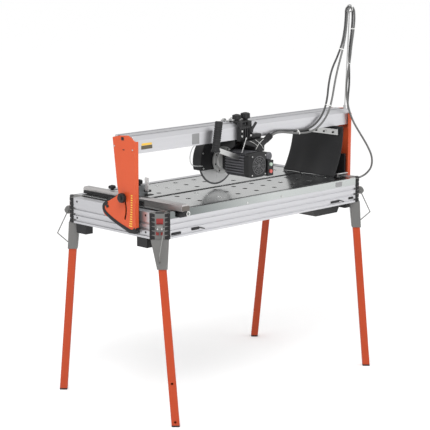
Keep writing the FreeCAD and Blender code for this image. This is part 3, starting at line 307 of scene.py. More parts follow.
# %% Metals
X_LINES, Y_LINES = (2.5, 260.0, 260.0), (260.0, 2.5, 260.0)
anodised = finish("anodised_along_x", (0.52, 0.52, 0.54), (0.66, 0.66, 0.68), 0.34, 0.85, 0.0002,
                  stretch=X_LINES)
anodised_ends = finish("anodised_along_y", (0.48, 0.48, 0.50), (0.60, 0.60, 0.62), 0.34, 0.85, 0.0002,
                       stretch=Y_LINES)
bright_band = finish("rolled_band", (0.40, 0.43, 0.42), (0.66, 0.68, 0.67), 0.15, 1.0, 0.0001,
                     stretch=(1.1, 200.0, 60.0))
galvanised = finish("galvanised_sheet", (0.68, 0.70, 0.70), (0.88, 0.89, 0.88), 0.17, 1.0, 0.00012,
                    stretch=(5.0, 90.0, 90.0), dusty=0.08)
zinc = finish("zinc_plate", (0.50, 0.50, 0.50), (0.62, 0.62, 0.61), 0.30, 1.0, 0.0002)
latch_steel = finish("latch_steel", (0.17, 0.17, 0.165), (0.26, 0.26, 0.25), 0.38, 0.7, 0.0002)
grey_cast = finish("grey_powder_coat", (0.120, 0.118, 0.114), (0.155, 0.153, 0.148), 0.46, 0.0, 0.0004, 700.0,
                   worn=(0.32, 0.32, 0.31), edge=0.0016)
motor_grey = finish("motor_cast_grey", (0.36, 0.36, 0.36), (0.50, 0.50, 0.49), 0.42, 0.4, 0.0004, 500.0,
                    worn=(0.5, 0.5, 0.5))
fence_metal = finish("worn_fence", (0.40, 0.385, 0.38), (0.55, 0.535, 0.53), 0.30, 0.85, 0.0002,
                     stretch=Y_LINES)
stop_grey = finish("stop_block_grey", (0.13, 0.14, 0.145), (0.20, 0.21, 0.215), 0.40, 0.3, 0.0003, 600.0,
                   worn=(0.36, 0.37, 0.37))
print("metals:", anodised.name, bright_band.name, galvanised.name, zinc.name)

# %% Paints
orange = finish("orange_powder_coat", (0.63, 0.090, 0.026), (0.56, 0.078, 0.022), 0.40, 0.0, 0.0003, 800.0,
                worn=(0.80, 0.24, 0.12), edge=0.0016, coat=0.08, gloss=0.3)
leg_red = finish("leg_powder_coat", (0.48, 0.056, 0.011), (0.41, 0.046, 0.009), 0.42, 0.0, 0.0003, 800.0,
                 worn=(0.62, 0.15, 0.07), edge=0.0014, coat=0.06, gloss=0.3)
black_paint = finish("satin_black_paint", (0.010, 0.010, 0.011), (0.020, 0.020, 0.021), 0.40, 0.0, 0.0003,
                     700.0, worn=(0.12, 0.12, 0.12), edge=0.0012, dusty=0.06, gloss=0.28)
print("paints:", orange.name, leg_red.name, black_paint.name)

# %% Plastics and rubber
black_plastic = finish("moulded_black", (0.010, 0.010, 0.011), (0.019, 0.019, 0.020), 0.44, 0.0, 0.0004, 1100.0,
                       worn=(0.06, 0.06, 0.06), dusty=0.05, gloss=0.3)
tub_plastic = finish("tub_plastic", (0.020, 0.021, 0.022), (0.035, 0.035, 0.036), 0.55, 0.0, 0.0005, 500.0,
                     gloss=0.3)
rubber = finish("soft_rubber", (0.013, 0.013, 0.014), (0.022, 0.022, 0.023), 0.50, 0.0, 0.0005, 1300.0,
                dusty=0.04, gloss=0.25)
cord_skin = finish("cord_skin", (0.030, 0.030, 0.031), (0.060, 0.060, 0.060), 0.40, 0.0, 0.0003, 1500.0,
                   coat=0.1)
hose_skin = finish("grey_hose_skin", (0.075, 0.075, 0.075), (0.15, 0.15, 0.147), 0.28, 0.0, 0.0003, 1500.0,
                   coat=0.25)
green_key = finish("green_key", (0.36, 0.46, 0.38), (0.44, 0.54, 0.46), 0.35, 0.0, 0.0002, coat=0.3)
red_key = finish("red_key", (0.60, 0.11, 0.09), (0.50, 0.08, 0.07), 0.33, 0.0, 0.0002, coat=0.3)
red_insert = finish("red_insert", (0.30, 0.022, 0.018), (0.22, 0.016, 0.014), 0.42, 0.0, 0.0003)
white_tie = finish("white_tie", (0.80, 0.80, 0.78), (0.72, 0.72, 0.70), 0.4, 0.0, 0.0002)
pale_floor = finish("pale_floor", (0.93, 0.93, 0.93), (0.95, 0.95, 0.95), 0.9, 0.0, 0.0001, 30.0, gloss=0.1)
FLOOR_GLOW = 0.16
floor_shader = pale_floor.node_tree.nodes["Principled BSDF"]
floor_shader.inputs["Emission Color"].default_value = (1, 1, 1, 1)
floor_shader.inputs["Emission Strength"].default_value = FLOOR_GLOW
floor.data.materials.append(pale_floor)
print("plastics and rubber:", black_plastic.name, rubber.name, cord_skin.name, hose_skin.name)

# %% Finishes of the small pieces
grille_black = finish("grille_black", (0.085, 0.085, 0.088), (0.12, 0.12, 0.123), 0.30, 0.4, 0.0002)
label_black = finish("label_black", (0.06, 0.05, 0.03), (0.12, 0.10, 0.06), 0.4, 0.0, 0.0001, 1500.0)
scale_yellow = finish("scale_yellow", (0.82, 0.52, 0.07), (0.74, 0.45, 0.05), 0.45, 0.0, 0.0001)
grey_plate = finish("grey_plate", (0.26, 0.26, 0.265), (0.32, 0.32, 0.32), 0.4, 0.5, 0.0002)
fence_brown = finish("fence_end_plastic", (0.10, 0.085, 0.075), (0.15, 0.13, 0.115), 0.45, 0.0, 0.0003,
                     gloss=0.3)
clear_plastic = finish("clear_plastic", (0.62, 0.63, 0.63), (0.72, 0.72, 0.72), 0.2, 0.0, 0.0001)
clear_plastic.node_tree.nodes["Principled BSDF"].inputs["Alpha"].default_value = 0.55
print(len(bpy.data.materials), "finishes so far")

# %% [markdown]
# ## Three finishes that know where they are
#
# A diamond blade is light in the middle and dark at its sintered rim, a leg is painted but its foot wears
# a black cap, and the bright band has a painted dark reflection that grows towards its left end.  Each is
# one part, so splitting the mesh would only add edges.  The material looks at Object coordinates instead:
# the distance from the shaft for the blade, the height above the floor for the leg, the place along the
# table for the band.

# %% Helpers for a finish that depends on its place
SHAFT = Vector((-0.036, -0.017, 0.896))


def shaft_distance(tree):
    """The distance from the motor shaft: the length of the Object coordinates less the shaft, without Y."""
    where = add(tree, "ShaderNodeTexCoord")
    off_shaft = add(tree, "ShaderNodeVectorMath", operation="SUBTRACT")
    off_shaft.inputs[1].default_value = SHAFT
    flat_y = add(tree, "ShaderNodeVectorMath", operation="MULTIPLY")
    flat_y.inputs[1].default_value = (1, 0, 1)
    length = add(tree, "ShaderNodeVectorMath", operation="LENGTH")
    wire(tree, (where.outputs["Object"], off_shaft.inputs[0]), (off_shaft.outputs[0], flat_y.inputs[0]),
         (flat_y.outputs[0], length.inputs[0]))
    return length.outputs["Value"]


def masked_over(made, mask, colour):
    """Lays a colour over the finish's base where the mask is one."""
    tree = made.node_tree
    socket = tree.nodes["Principled BSDF"].inputs["Base Color"]
    under = socket.links[0].from_socket
    tree.links.new(mixed(tree, mask, under, colour), socket)
    return made


# %% Blade, motor and leg
RIM_START, RIM_END = 0.0925, 0.0935
FOOT_CAP = 0.0060
blade_steel = finish("blade_steel", (0.52, 0.52, 0.525), (0.66, 0.66, 0.66), 0.42, 0.35, 0.0002)
rim = add(blade_steel.node_tree, "ShaderNodeMapRange", {"From Min": RIM_START, "From Max": RIM_END})
blade_steel.node_tree.links.new(shaft_distance(blade_steel.node_tree), rim.inputs["Value"])
masked_over(blade_steel, rim.outputs[0], (0.075, 0.075, 0.08))

motor_skin = finish("motor_skin", (0.085, 0.085, 0.094), (0.135, 0.135, 0.146), 0.36, 0.35, 0.0003, 700.0,
                    worn=(0.30, 0.30, 0.32), edge=0.0012)

foot_height = add(leg_red.node_tree, "ShaderNodeTexCoord")
foot_parts = add(leg_red.node_tree, "ShaderNodeSeparateXYZ")
below = add(leg_red.node_tree, "ShaderNodeMapRange", {"From Min": FOOT_CAP + 0.0006, "From Max": FOOT_CAP})
wire(leg_red.node_tree, (foot_height.outputs["Object"], foot_parts.inputs[0]),
     (foot_parts.outputs["Z"], below.inputs["Value"]))
masked_over(leg_red, below.outputs[0], (0.012, 0.012, 0.012))
print("blade rim from", RIM_START, "m, foot cap", FOOT_CAP, "m high")

# %% Painted dark reflection on the band
# Painted reflection: from x 0.02 towards x -0.42 the band's colour mixes up to 0.8 of the way to a dark
# grey-green, a dark reflection painted into its left end.
REFLECTION_FROM, REFLECTION_TO = 0.02, -0.42
along_band = add(bright_band.node_tree, "ShaderNodeTexCoord")
band_parts = add(bright_band.node_tree, "ShaderNodeSeparateXYZ")
painted_reflection_mask = add(bright_band.node_tree, "ShaderNodeMapRange",
              {"From Min": REFLECTION_FROM, "From Max": REFLECTION_TO, "To Max": 0.8})
wire(bright_band.node_tree, (along_band.outputs["Object"], band_parts.inputs[0]),
     (band_parts.outputs["X"], painted_reflection_mask.inputs["Value"]))
masked_over(bright_band, painted_reflection_mask.outputs[0], (0.11, 0.125, 0.125))
print("painted_reflection on", bright_band.name, "from x", REFLECTION_FROM, "to", REFLECTION_TO)

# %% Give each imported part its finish
FINISHES = {
    anodised: ["front_rail", "back_rail", "bridge_beam"],
    anodised_ends: ["left_end_rail", "right_end_rail"],
    fence_metal: ["fence_bar"],
    stop_grey: ["fence_stop"],
    bright_band: ["side_band"],
    galvanised: ["front_table_panel", "back_table_panel", "table_crossbars"],
    zinc: ["frame_screws", "curtain_strip", "hose_mast", "roller_axle_left", "roller_axle_right", "motor_rotor",
           "blade_flanges", "handle_bar"],
    latch_steel: ["latch_front_left", "latch_front_right", "latch_back_left", "latch_back_right"],
    grey_cast: ["corner_castings"],
    orange: ["left_bracket", "right_bracket"],
    leg_red: ["leg_front_left", "leg_front_right", "leg_back_left", "leg_back_right"],
    black_paint: ["left_support_plate", "right_support_plate", "carriage_frame", "head_arm", "blade_guard"],
    black_plastic: ["rail_end_caps", "frame_blocks", "water_pump", "left_tilt_knob", "right_tilt_knob",
                    "pivot_housing", "cable_gland", "fan_cover", "capacitor", "switch_box", "stop_knob",
                    "fence_knob", "hose_fitting", "carriage_knob_left", "carriage_knob_right"],
    tub_plastic: ["water_tray"],
    rubber: ["handle_grip", "splash_curtain", "power_cable", "water_hose_upper", "water_hose_lower"],
    green_key: ["start_button"],
    red_key: ["stop_button"],
    blade_steel: ["blade"],
    motor_skin: ["motor_housing"],
}
for look, names in FINISHES.items():
    for name in names:
        nodes[name].data.materials.clear()
        nodes[name].data.materials.append(look)
print("parts without a finish:", sorted(set(nodes) - {n for names in FINISHES.values() for n in names}))

# %% [markdown]
# ## One way to make a shape
#
# Almost every small piece is a stack of rings: a knob is a stack of wavy circles, a plate is a stack of
# rounded rectangles, a cord is a circle carried along a line.  So one function closes an array of rings
# into a shell, another joins shells into a piece, and a piece only has to say where its rings lie.

# %% Rings to a closed shell
def shell(rings, looped=False):
    """Points and faces of a closed shell round an array of rings, stations x points x 3.  Neighbours in
    neighbouring rings make a quad.  A fan to the middle closes each end, or the last ring meets the first."""
    rings = np.asarray(rings, float)
    stations, around = rings.shape[:2]
    here = np.arange(around)
    after = np.roll(here, -1)
    starts = np.arange(stations if looped else stations - 1)[:, None] * around
    nexts = (starts + around) % (stations * around)
    quads = np.stack([starts + here, starts + after, nexts + after, nexts + here], axis=-1).reshape(-1, 4)
    points = rings.reshape(-1, 3)
    corners = points[quads] - points.mean(0)
    volume = np.einsum("ij,ij->", corners[:, 0], np.cross(corners[:, 1], corners[:, 2]))
    volume += np.einsum("ij,ij->", corners[:, 0], np.cross(corners[:, 2], corners[:, 3]))
    faces = quads.tolist()
    if not looped:
        count, top = len(points), (stations - 1) * around
        points = np.concatenate([points, rings[0].mean(0)[None], rings[-1].mean(0)[None]])
        faces += np.stack([np.full(around, count), after, here], axis=1).tolist()
        faces += np.stack([np.full(around, count + 1), here + top, after + top], axis=1).tolist()
    if volume < 0:
        faces = [face[::-1] for face in faces]
    return points, faces


# %% Shells to one piece
def piece(name, shells, material, body):
    """One object of one or more closed shells, smooth but sharp at its edges, riding on a body."""
    points, faces, offset = [], [], 0
    for shell_points, shell_faces in shells:
        points.append(shell_points)
        faces += [[corner + offset for corner in face] for face in shell_faces]
        offset += len(shell_points)
    mesh = bpy.data.meshes.new(name)
    mesh.from_pydata(np.concatenate(points).tolist(), [], faces)
    mesh.polygons.foreach_set("use_smooth", np.ones(len(faces), bool))
    mesh.set_sharp_from_angle(angle=math.radians(38))
    mesh.materials.append(material)
    made = bpy.data.objects.new(name, mesh)
    bpy.context.scene.collection.objects.link(made)
    if body:
        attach(made, body)
    return made


print("a test tube has", len(shell(np.eye(3)[None] + np.arange(4)[:, None, None])[1]), "faces")


# %% Sections
def round_section(radius, around=32, lobes=0, depth=0.0):
    """Points of a circle whose radius swells by depth in a number of lobes."""
    angle = np.linspace(0, 2 * np.pi, around, endpoint=False)
    reach = radius * (1 + depth * np.cos(lobes * angle))
    return np.stack([reach * np.cos(angle), reach * np.sin(angle)], axis=1)


def block_section(wide, high, corner, steps=4):
    """Points of a rectangle of wide x high with its corners rounded by quarter circles."""
    angle = np.linspace(0, np.pi / 2, steps) + np.arange(4)[:, None] * np.pi / 2
    middles = np.array([(1, 1), (-1, 1), (-1, -1), (1, -1)]) * (wide / 2 - corner, high / 2 - corner)
    return (middles[:, None] + corner * np.stack([np.cos(angle), np.sin(angle)], axis=-1)).reshape(-1, 2)


# %% Stations
def stacked(section, stations, origin, axes):
    """Rings of one section: each station is (distance along the axis, scale of the section)."""
    across, aside, along = (np.array(a, float) for a in axes)
    flat = section[:, :1] * across + section[:, 1:] * aside
    far, scale = np.array(stations, float).T[:, :, None, None]
    return np.array(origin) + far * along + scale * flat


def soft_ends(length, roll, reach, steps=4):
    """Stations of a straight piece whose two ends roll over by a quarter circle of a radius; reach is
    the half width that the roll is measured against."""
    angle = np.linspace(np.pi / 2, 0, steps)
    back = angle[::-1]
    low = np.stack([roll * (1 - np.sin(back)), 1 - roll / reach * (1 - np.cos(back))], axis=1)[::-1]
    high = np.stack([length - low[::-1, 0], low[::-1, 1]], axis=1)
    return np.concatenate([low, high])


AXES = {
    "X": ((0, 1, 0), (0, 0, 1), (1, 0, 0)),
    "Y": ((0, 0, 1), (1, 0, 0), (0, 1, 0)),
    "Z": ((1, 0, 0), (0, 1, 0), (0, 0, 1)),
}


# %% Blocks, discs, hoops and tubes
def block(low, high, corner=0.002, axis="Z"):
    """A block between two corners of space, with rounded edges all round."""
    low, high = np.array(low, float), np.array(high, float)
    across, aside, along = (np.abs(np.array(a)) @ (high - low) for a in AXES[axis])
    corner = min(corner, 0.45 * min(across, aside, along))
    start = (low + high) / 2 - np.array(AXES[axis][2]) * along / 2
    return shell(stacked(block_section(across, aside, corner), soft_ends(along, corner, min(across, aside) / 2),
                         start, AXES[axis]))


def disc(origin, radius, length, axis="Z", roll=0.001, lobes=0, depth=0.0, around=32):
    """A round or lobed disc or pin that starts at a point and runs along an axis, its rims rolled over."""
    axes = AXES[axis] if isinstance(axis, str) else axis
    section = round_section(radius, around, lobes, depth)
    return shell(stacked(section, soft_ends(length, roll, radius), origin, axes))


def hoop(centre, radius, thick, axis="Y", around=48, section=10):
    """A ring of round wire: a small circle carried round a large one."""
    across, aside, along = (np.array(a, float) for a in AXES[axis])
    turn = np.linspace(0, 2 * np.pi, around, endpoint=False)[:, None, None]
    small = np.linspace(0, 2 * np.pi, section, endpoint=False)[None, :, None]
    reach = radius + thick * np.cos(small)
    return shell(np.array(centre) + reach * (np.cos(turn) * across + np.sin(turn) * aside)
                 + thick * np.sin(small) * along, looped=True)


def carried_circle(line, radius, around=14):
    """Rings of a circle carried along a line.  Each ring stands square to the line; its first direction
    is the last ring's direction made square again, so that the tube never twists."""
    line = np.asarray(line, float)
    along = np.gradient(line, axis=0)
    along /= np.linalg.norm(along, axis=1)[:, None]
    aside = np.cross(along[0], (0.31, 0.92, 0.24))
    rings = []
    angle = np.linspace(0, 2 * np.pi, around, endpoint=False)[:, None]
    for spot, way in zip(line, along):
        aside = aside - way * (aside @ way)
        aside /= np.linalg.norm(aside)
        rings.append(spot + radius * (np.cos(angle) * aside + np.sin(angle) * np.cross(way, aside)))
    return np.array(rings)


print("a block has", len(block((0, 0, 0), (1, 1, 1))[1]), "faces, a disc", len(disc((0, 0, 0), 1, 1)[1]))

# %% [markdown]
# ## Cords
#
# The power cable and the water hose leave the carriage side by side, climb to a ring on a thin mast and
# fall on the far side: the cable into the end of the beam, the hose in a wide loose bow to the frame.
# A cord is heavy and bendy, so its line is one smooth spline through a chain of given points.
# Blender's own curve could carry the tube, but here the spline is read back as points, and a circle is
# carried along them to make a mesh.

# %% Routes of the cords, in metres
CABLE_ROUTE = [
    (0.1025, -0.1677, 0.988), (0.136, -0.167, 1.004), (0.186, -0.168, 1.002), (0.262, -0.169, 0.993),
    (0.338, -0.169, 0.993), (0.392, -0.169, 1.018), (0.430, -0.168, 1.058), (0.450, -0.166, 1.108),
    (0.460, -0.163, 1.166), (0.482, -0.159, 1.222), (0.520, -0.155, 1.268), (0.553, -0.151, 1.318),
    (0.573, -0.147, 1.374), (0.581, -0.145, 1.430), (0.582, -0.144, 1.467), (0.621, -0.144, 1.467),
    (0.626, -0.144, 1.428), (0.622, -0.144, 1.372), (0.611, -0.145, 1.318), (0.607, -0.145, 1.262),
    (0.612, -0.144, 1.208), (0.618, -0.141, 1.152), (0.612, -0.140, 1.100), (0.611, -0.140, 1.058),
    (0.626, -0.141, 1.022), (0.609, -0.139, 0.990),
]
HOSE_UPPER_ROUTE = [
    (0.1025, -0.1763, 0.988), (0.136, -0.178, 1.003), (0.186, -0.178, 0.995), (0.262, -0.179, 0.983),
    (0.340, -0.180, 0.982), (0.398, -0.180, 1.006), (0.444, -0.179, 1.050), (0.468, -0.177, 1.108),
    (0.484, -0.174, 1.164), (0.504, -0.170, 1.216), (0.530, -0.165, 1.266), (0.553, -0.161, 1.316),
    (0.571, -0.157, 1.372), (0.577, -0.155, 1.4195),
]
HOSE_LOWER_ROUTE = [
    (0.577, -0.155, 1.4195), (0.583, -0.153, 1.467), (0.622, -0.153, 1.467), (0.628, -0.154, 1.424),
    (0.620, -0.156, 1.368), (0.606, -0.158, 1.314), (0.597, -0.160, 1.258), (0.584, -0.160, 1.202),
    (0.575, -0.160, 1.146), (0.577, -0.163, 1.092), (0.583, -0.172, 1.044), (0.601, -0.180, 0.998),
    (0.626, -0.195, 0.952), (0.646, -0.216, 0.906), (0.657, -0.238, 0.858), (0.651, -0.243, 0.814),
    (0.634, -0.228, 0.784), (0.616, -0.207, 0.768), (0.598, -0.196, 0.765),
]
CORD_RADIUS = 0.004
print("points:", len(CABLE_ROUTE), len(HOSE_UPPER_ROUTE), len(HOSE_LOWER_ROUTE))


# %% Helpers for a smooth line
def smooth_line(name, route):
    """The points of a NURBS spline of the third order that starts and ends on its first and last points."""
    curve = bpy.data.curves.new(name, "CURVE")
    curve.dimensions = "3D"
    curve.resolution_u = 8
    spline = curve.splines.new("NURBS")
    spline.points.add(len(route) - 1)
    spline.points.foreach_set("co", np.column_stack([np.array(route), np.ones(len(route))]).ravel())
    spline.order_u = 3
    spline.use_endpoint_u = True
    carrier = bpy.data.objects.new(name, curve)
    bpy.context.scene.collection.objects.link(carrier)
    bpy.context.view_layer.update()
    mesh = bpy.data.meshes.new_from_object(carrier.evaluated_get(bpy.context.evaluated_depsgraph_get()))
    line = np.zeros(len(mesh.vertices) * 3)
    mesh.vertices.foreach_get("co", line)
    bpy.data.meshes.remove(mesh)
    bpy.data.objects.remove(carrier)
    return line.reshape(-1, 3)


def line_length(line):
    """The sum of the distances between neighbouring points."""
    return float(np.linalg.norm(np.diff(line, axis=0), axis=1).sum())


# %% Cable and hoses
CORD_LINES = {}
for name, route in (("power_cable", CABLE_ROUTE), ("water_hose_upper", HOSE_UPPER_ROUTE),
                    ("water_hose_lower", HOSE_LOWER_ROUTE)):
    line = smooth_line(name + "_line", route)
    CORD_LINES[name] = line
    tube = piece(name + "_skin", [shell(carried_circle(line, CORD_RADIUS))],
                 cord_skin if name == "power_cable" else hose_skin, None)
    if name == "water_hose_lower":
        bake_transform(tube)
    else:
        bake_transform(tube)
    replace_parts(tube, name)
    print(name, round(line_length(line), 3), "m")

# %% [markdown]
# ### Cable ties
#
# White ties bundle the cable and the hose at a few heights.  A tie is a thin band round both cords, so it
# is an oval carried a few millimetres along them, square to their line.

# %% Cable ties
def nearest(line, spot):
    """The place of a line that is nearest to a spot, and the line's direction there."""
    index = int(np.clip(np.argmin(np.linalg.norm(line - np.array(spot), axis=1)), 1, len(line) - 2))
    return line[index], line[index + 1] - line[index - 1]


def tie_round(name, middle, way, across, gap, tall=0.0045, thick=0.0012):
    """A band round two cords: an oval whose half width is the gap, the cord and the band added up."""
    way, across = Vector(way).normalized(), Vector(across)
    across = (across - way * across.dot(way)).normalized()
    angle = np.linspace(0, 2 * np.pi, 24, endpoint=False)
    reach = CORD_RADIUS + thick
    oval = np.stack([(gap + reach) * np.cos(angle), reach * np.sin(angle)], axis=1)
    start = Vector(middle) - way * tall / 2
    rings = stacked(oval, soft_ends(tall, 0.0008, 0.006), start, (across, way.cross(across), way))
    return piece(name, [shell(rings)], white_tie, None)


TIE_SPOTS = [
    (0.262, -0.172, 0.990, "water_hose_upper"), (0.446, -0.170, 1.086, "water_hose_upper"),
    (0.545, -0.155, 1.296, "water_hose_upper"), (0.622, -0.149, 1.378, "water_hose_lower"),
    (0.604, -0.152, 1.240, "water_hose_lower"),
]
for count, (x, y, z, partner) in enumerate(TIE_SPOTS):
    one, way = nearest(CORD_LINES["power_cable"], (x, y, z))
    two, _ = nearest(CORD_LINES[partner], one)
    gap = float(np.linalg.norm(one - two)) / 2
    tie = tie_round("cable_tie_%d" % count, (one + two) / 2, way, two - one, gap)
    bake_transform(tie)
print(len(TIE_SPOTS), "ties")

# %% [markdown]
# ## Splash curtain
#
# A rubber sheet hangs under the beam and stops the spray.  It is clamped along its top edge and its foot
# trails on the table towards the blade, so its side line is an arc, and the weight of the rubber lets
# soft vertical folds grow towards the foot.  The sheet is one function of its width and its height, and
# the Solidify modifier gives it the thickness of the rubber.

# %% Splash curtain
CURTAIN_WIDTH, CURTAIN_HEIGHT = 0.270, 0.211
CURTAIN_ARC = np.array([(0.5165, 0.988), (0.5075, 0.890), (0.4625, 0.7863)])


def curtain_surface(across=72, down=40):
    """Points of the sheet.  Downwards, x and z follow the parabola through the three points of the side
    line; sideways, y is even, and x gains soft folds that grow with the distance from the clamped edge."""
    u, v = np.meshgrid(np.linspace(0, 1, across), np.linspace(0, 1, down))
    share = v[..., None]
    top, middle, low = CURTAIN_ARC
    line = top * (1 - share) * (1 - 2 * share) + middle * 4 * share * (1 - share)
    line += low * share * (2 * share - 1)
    folds = 0.0036 * v ** 1.6 * np.sin(2 * np.pi * (2.6 * u + 0.12 * v))
    return np.stack([line[..., 0] + folds, -0.195 + CURTAIN_WIDTH * u, line[..., 1]], axis=-1)


sheet_points = curtain_surface()
rows, columns = sheet_points.shape[:2]
corner = (np.arange(rows - 1)[:, None] * columns + np.arange(columns - 1)).ravel()
sheet_faces = np.stack([corner, corner + columns, corner + columns + 1, corner + 1], axis=1)
curtain = piece("splash_curtain_sheet", [(sheet_points.reshape(-1, 3), sheet_faces.tolist())], rubber, None)
thickness = curtain.modifiers.new("rubber_thickness", "SOLIDIFY")
thickness.thickness = 0.0028
thickness.offset = 0
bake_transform(curtain)
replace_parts(curtain, "splash_curtain")
print("curtain grid", rows, "x", columns)

# %% [markdown]
# ## Motor
#
# The motor is an aluminium casting: a round mounting flange, a squarish body with cooling fins along it,
# and an end bell with a round grille in front of its fan.  The fins could be thin plates set on a plain
# box, but a casting is one skin.  So the section is a rounded square whose radius sinks between the fins,
# and carrying that section along the shaft makes body and fins in one shell.

# %% Sections of the motor
MOTOR_X, MOTOR_Z = -0.036, 0.896
MOTOR_HALF = 0.0475
MOTOR_AXES = ((1, 0, 0), (0, 0, 1), (0, 1, 0))
SHAFT_LINE = np.array((MOTOR_X, 0, MOTOR_Z))


def rounded_square(half, power=5.0, around=360):
    """A superellipse: the radius is half over the power mean of cosine and sine."""
    angle = np.linspace(0, 2 * np.pi, around, endpoint=False)
    reach = half / (np.abs(np.cos(angle)) ** power + np.abs(np.sin(angle)) ** power) ** (1 / power)
    return np.stack([reach * np.cos(angle), reach * np.sin(angle)], axis=1)


def finned_section(half, pitch=0.0108, depth=0.16):
    """A rounded square whose radius drops by a share of itself between fins, with one fin each pitch."""
    section = rounded_square(half, around=900)
    along_side = np.minimum(np.abs(section[:, 0]), np.abs(section[:, 1]))
    wave = np.clip(0.5 + 1.6 * np.cos(2 * np.pi * along_side / pitch), 0, 1)
    return section * (1 - depth * (1 - wave))[:, None]


print("finned section:", len(finned_section(MOTOR_HALF)), "points")

# %% Motor body and flange
body_rings = stacked(finned_section(MOTOR_HALF), [(0, 0.97), (0.002, 1), (0.101, 1), (0.103, 0.96)],
                     SHAFT_LINE + (0, -0.211, 0), MOTOR_AXES)
motor = piece("motor_body", [shell(body_rings)], motor_skin, "head")
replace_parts(motor, "motor_housing")
flange = [disc(SHAFT_LINE + (0, -0.056, 0), 0.0535, 0.010, MOTOR_AXES, 0.0015, around=72),
          disc(SHAFT_LINE + (0, -0.134, 0), 0.036, 0.080, MOTOR_AXES, 0.002, around=48),
          disc(SHAFT_LINE + (0, -0.066, 0), 0.041, 0.012, MOTOR_AXES, 0.004, around=48)]
# Painted shade: eight black discs on the flange's face stand for its small holes, dark where they look into the
# motor.
HOLE_CIRCLE = 0.0465
hole_turns = np.linspace(0.26, 0.26 + 2 * math.pi, 8, endpoint=False)
hole_shades = [disc(SHAFT_LINE + (HOLE_CIRCLE * math.cos(turned), -0.0573, HOLE_CIRCLE * math.sin(turned)),
              0.0033, 0.003, MOTOR_AXES, 0.0006) for turned in hole_turns]
piece("motor_flange", flange, motor_grey, "head")
piece("motor_flange_hole_shades", hole_shades, black_plastic, "head")
print("motor body and", len(flange) + len(hole_shades), "shells of its flange")

# %% Arm that carries the motor
# A tapering bar runs from a clamp behind the motor body up to the boss on the pivot pin.
arm_low, arm_high = np.array((-0.026, -0.096, 0.926)), np.array((0.030, -0.096, 0.962))
arm_way = (arm_high - arm_low) / np.linalg.norm(arm_high - arm_low)
arm_axes = (tuple(np.cross(arm_way, (0, 1, 0))), (0, 1, 0), tuple(arm_way))
arm_bar = stacked(block_section(0.022, 0.022, 0.003), [(0, 1.25), (0.03, 1.0), (0.066, 0.9)], arm_low, arm_axes)
arm_clamp = stacked(rounded_square(0.037, 6.0, 96), [(0, 0.98), (0.001, 1), (0.021, 1), (0.022, 0.98)],
                    SHAFT_LINE + (0, -0.107, 0.004), MOTOR_AXES)
arm = piece("head_arm_casting", [shell(arm_bar), disc((0.030, -0.107, 0.962), 0.0128, 0.022, MOTOR_AXES, 0.001),
                                 shell(arm_clamp)], black_paint, "head")
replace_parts(arm, "head_arm")
print("arm", round(float(np.linalg.norm(arm_high - arm_low)), 3), "m from motor to pivot")

# %% End bell, grille and screws
# The bell widens from the grille to the body.  Hoops and spokes of round wire make the grille.
BELL_FACE = SHAFT_LINE + (0, -0.243, 0)
bell = stacked(rounded_square(MOTOR_HALF, 6.0, 160),
               [(0, 0.80), (0.002, 0.86), (0.009, 1.0), (0.033, 1.0), (0.035, 0.97)], BELL_FACE, MOTOR_AXES)
end_bell = piece("motor_end_bell", [shell(bell)], black_plastic, "head")
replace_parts(end_bell, "fan_cover")
hoops = [hoop(BELL_FACE + (0, -0.0006, 0), radius, 0.0016) for radius in (0.034, 0.026, 0.018)]
spokes = []
for turned in np.linspace(0, 2 * math.pi, 10, endpoint=False):
    outwards = np.array([math.cos(turned), 0, math.sin(turned)])
    spoke_line = BELL_FACE + (0, -0.0008, 0) + np.linspace(0.006, 0.036, 4)[:, None] * outwards
    spokes.append(shell(carried_circle(spoke_line, 0.0015, 8)))
hub = disc(BELL_FACE + (0, -0.0016, 0), 0.007, 0.002, "Y", 0.0008)
piece("fan_grille", hoops + spokes + [hub], grille_black, "head")
piece("bell_screws", [disc(BELL_FACE + (dx, -0.0017, dz), 0.0028, 0.003, "Y", 0.0008)
                      for dx in (-0.036, 0.036) for dz in (-0.036, 0.036)], zinc, "head")
print("grille:", len(hoops), "hoops and", len(spokes), "spokes")

# %% [markdown]
# ## Grip
#
# The operator pulls the head along by a rubber grip that stands beside the motor.  Ribs could be rings laid
# on a rod, but rubber is moulded in one piece.  So it is turned as on a lathe: a stack of circles along a
# leaning axis, whose radius ripples where the fingers lie and rolls over at both ends.

# %% Handle grip
GRIP_FOOT = np.array([-0.2085, -0.181, 0.9585])
LEAN = np.array([0.158, 0, 0.9874])
GRIP_RADIUS, RIB_HEIGHT, RIB_PITCH = 0.0146, 0.0007, 0.0085
RIBS_FROM, RIBS_TO = 0.012, 0.104
far = np.linspace(0, 0.116, 90)
ribbed = (far > RIBS_FROM) * (far < RIBS_TO)
ripple = GRIP_RADIUS + RIB_HEIGHT * np.clip(np.sin(2 * np.pi * far / RIB_PITCH) * 2, -1, 1) * ribbed
to_end = np.clip(np.minimum(far + 0.001, 0.117 - far) / 0.004, 0, 1)
roll_over = np.sqrt(np.clip(1 - (1 - to_end) ** 2, 0.04, 1))
grip_stations = np.stack([far, ripple * roll_over], axis=1)
grip_axes = (tuple(np.cross((0, 1, 0), LEAN)), (0, 1, 0), tuple(LEAN))
grip = piece("grip_rubber", [shell(stacked(round_section(1.0, 40), grip_stations, GRIP_FOOT, grip_axes)),
                             disc(GRIP_FOOT - 0.001 * LEAN, 0.0175, 0.009, grip_axes, 0.002)], rubber, "head")
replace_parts(grip, "handle_grip")
print("grip", far[-1], "m long with", round((RIBS_TO - RIBS_FROM) / RIB_PITCH), "ribs")

# %% [markdown]
# ## Star knobs
#
# Hands in wet gloves need something to hold, so every clamp ends in a knob with lobes.  Cutting notches out
# of a disc would leave sharp edges, so the disc's own circle swells into lobes and its rims roll over.  A
# round hub below it carries the thread.  The tilt wheels are the same knob with many shallow lobes.

